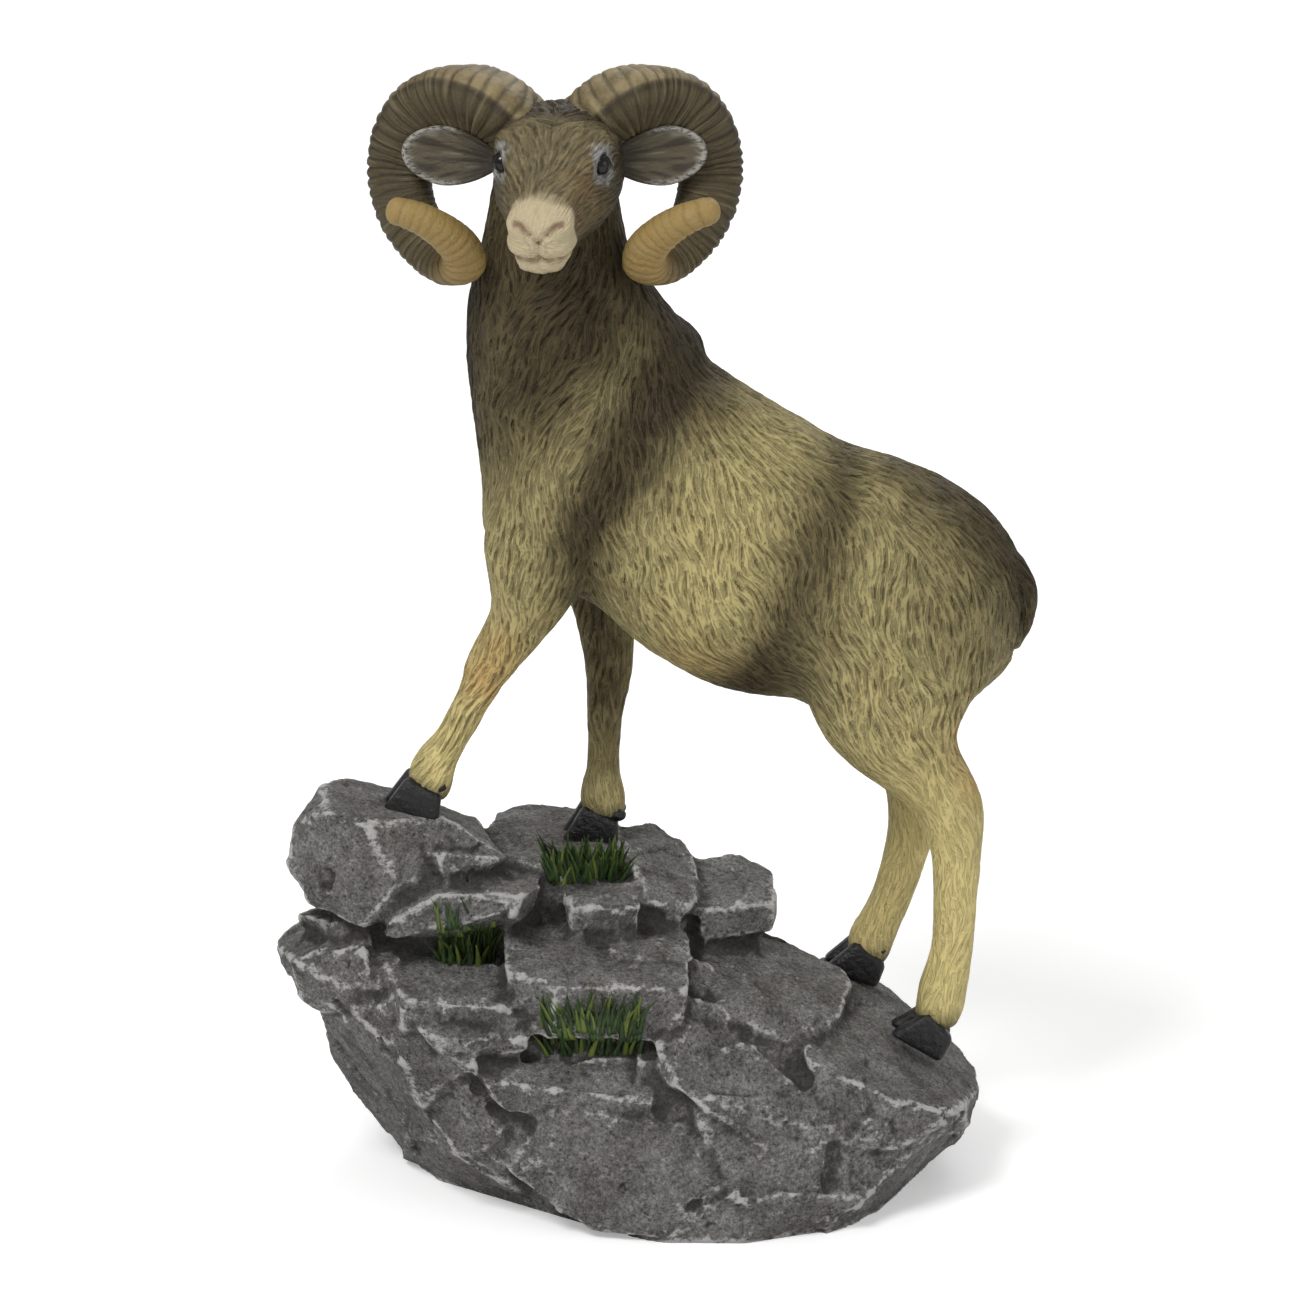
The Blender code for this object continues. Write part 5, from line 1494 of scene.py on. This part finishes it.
# The hoofs: two toes on each foot, cast in resin with the leg and painted a slightly
# glossy black. They stand on the rock, with a pair of small dewclaws behind.
hoof_length = 10.2
hoof_width = 9.0
hoof_height = 6.8
heel_height = 4.4
hoof_cleft = 0.6
hoof_sunk = 0.5
hoof_rounding = 1.1
claw_half_size = (1.6, 1.3, 1.2)

# Where each hoof stands: middle x, y, sole height, and the slope of the rock in degrees.
hoof_places = {
    "near_fore": (-41.9, -9.0, 70.2, 8.0),
    "far_fore": (-10.9, 8.0, 58.8, 2.0),
    "near_hind": (46.8, -10.0, 27.2, 30.0),
    "far_hind": (36.0, 10.0, 32.5, 20.0),
}
hoof_paint = Paint("hoof_black", 0.33)
scuff = hoof_paint.noise(hoof_paint.place(), 0.9, 4.0, 0.65)
hoof_paint.base(scuff.clamped(0.5, 0.8) * 0.4, (22, 21, 22), (58, 54, 52))
hoof_material = hoof_paint.finish(scuff, 0.0005)
toe_width = (hoof_width - hoof_cleft) / 2
for name, (x, y, z, slope) in hoof_places.items():
    hoof_shape = bmesh.new()
    for side in (-1, 1):
        toe = bmesh.ops.create_cube(hoof_shape, size=1)["verts"]
        for vert in toe:
            forward = vert.co.x < 0
            high = vert.co.z > 0
            across = toe_width * (0.8 if forward else 1.0) * (0.88 if high else 1.0)
            along = vert.co.x * hoof_length + (hoof_length * 0.38 if forward and high else 0.0)
            rise = (hoof_height if forward else heel_height) if high else -0.4
            aside = vert.co.y * across + side * (toe_width + hoof_cleft) / 2
            vert.co = Vector((along, aside, rise))
    bmesh.ops.bevel(
        hoof_shape, geom=hoof_shape.edges[:], offset=hoof_rounding, offset_type="OFFSET",
        segments=4, profile=0.5, affect="EDGES", material=-1, clamp_overlap=True)
    tilt = Matrix.Rotation(math.radians(slope), 4, "Y")
    place = Matrix.Scale(MM, 4) @ Matrix.Translation((x, y, z - hoof_sunk)) @ tilt
    bmesh.ops.transform(hoof_shape, matrix=place, verts=hoof_shape.verts)
    for side in (-1, 1):
        claw = egg((x + 5.0, y + side * 2.0, z + 4.4), claw_half_size)
        bmesh.ops.create_uvsphere(hoof_shape, u_segments=20, v_segments=12, radius=1, matrix=claw)
    hoof = new_piece(name + "_hoof", hoof_shape)
    hoof.data.shade_smooth()
    hoof.data.materials.append(hoof_material)
    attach(hoof, "root")
    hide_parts("bighorn_figurine")


# The grass: three small tufts carved between the rocks, cast in resin with them and
# painted dark green with lighter, yellowish blades. Each blade is a thin curved spike that
# is rooted in the stone where the line of sight meets it.
blade_length = 5.6
blade_half_width = 0.5
blade_rooted = 0.8
blade_rings = 8
blade_sides = 6
blades_across = 16
blade_rows = 6

# Each tuft: left and right x, low and high z, all at the depth y.
grass_tufts = [
    (-18.2, -5.0, -7.0, 55.6, 59.0),
    (-36.8, -27.2, -21.5, 45.5, 52.5),
    (-18.6, -1.6, -28.0, 31.5, 38.5),
]
rock_faces = skin_tree(rocks)
view_line = -toward_camera
chooser = np.random.default_rng(7)
grass_shape = bmesh.new()
for left, right, y, low, high in grass_tufts:
    for number in range(blade_rows * blades_across):
        row, column = divmod(number, blades_across)
        row /= blade_rows - 1
        x = left + (right - left) * (column + chooser.uniform(0.1, 0.9)) / blades_across
        z = high + (low - high) * row + chooser.uniform(-0.5, 0.5)
        in_front = Vector((x, y, z)) - view_line * 60
        root = rock_faces.ray_cast(in_front * MM, view_line)[0]
        if root is None:
            continue
        root = root / MM
        fan = (x - (left + right) / 2) / (right - left)
        lean_x = 0.35 * fan + chooser.normal(0, 0.16)
        lean_y = -0.16 - 0.08 * row + chooser.normal(0, 0.05)
        lean = Vector((lean_x, lean_y, 1)).normalized()
        curl = Vector((chooser.normal(0, 0.16) + 0.2 * fan, -0.12, 0))
        length = blade_length * chooser.uniform(0.7, 1.1)
        half_width = blade_half_width * chooser.uniform(0.75, 1.2)
        flat_way = Vector((1, chooser.normal(0, 0.3), 0)).normalized()
        thick_way = Vector((0, -1, 0.1)) * 0.6
        rings = []
        for step in range(blade_rings):
            share = step / (blade_rings - 1)
            rise = lean * ((length + blade_rooted) * share - blade_rooted)
            centre = root + rise + curl * length * share ** 2
            size = half_width * (1.0 - share ** 1.6) + 0.05
            ring = []
            for corner in range(blade_sides):
                turn = 2 * math.pi * corner / blade_sides
                ring.append(centre + (flat_way * math.cos(turn) + thick_way * math.sin(turn)) * size)
            rings.append(ring)
        roll_skin(grass_shape, rings)
bmesh.ops.recalc_face_normals(grass_shape, faces=grass_shape.faces)
grass = new_piece("grass_tufts", grass_shape)
blade_number = np.arange(len(grass.data.vertices)) // (blade_rings * blade_sides)
store(grass.data, "blade", blade_number % 7 / 6.0)
grass_paint = Paint("painted_grass", 0.55)
blade = grass_paint.attribute("blade")
streak = grass_paint.noise(grass_paint.place(scale=(1, 1, 0.15)), 1.6, 2.0, 0.6)
grass_paint.base(streak.clamped(0.35, 0.65), (34, 50, 26), (58, 82, 36))
grass_paint.coat(blade.clamped(0.6, 1.0) * 0.7, (112, 124, 52))
grass_paint.coat((1.0 - blade.clamped(0.0, 0.3)) * 0.5, (24, 38, 22))
grass.data.materials.append(grass_paint.finish(streak, 0.0002))
grass.data.shade_smooth()
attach(grass, "root")
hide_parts("bighorn_figurine")
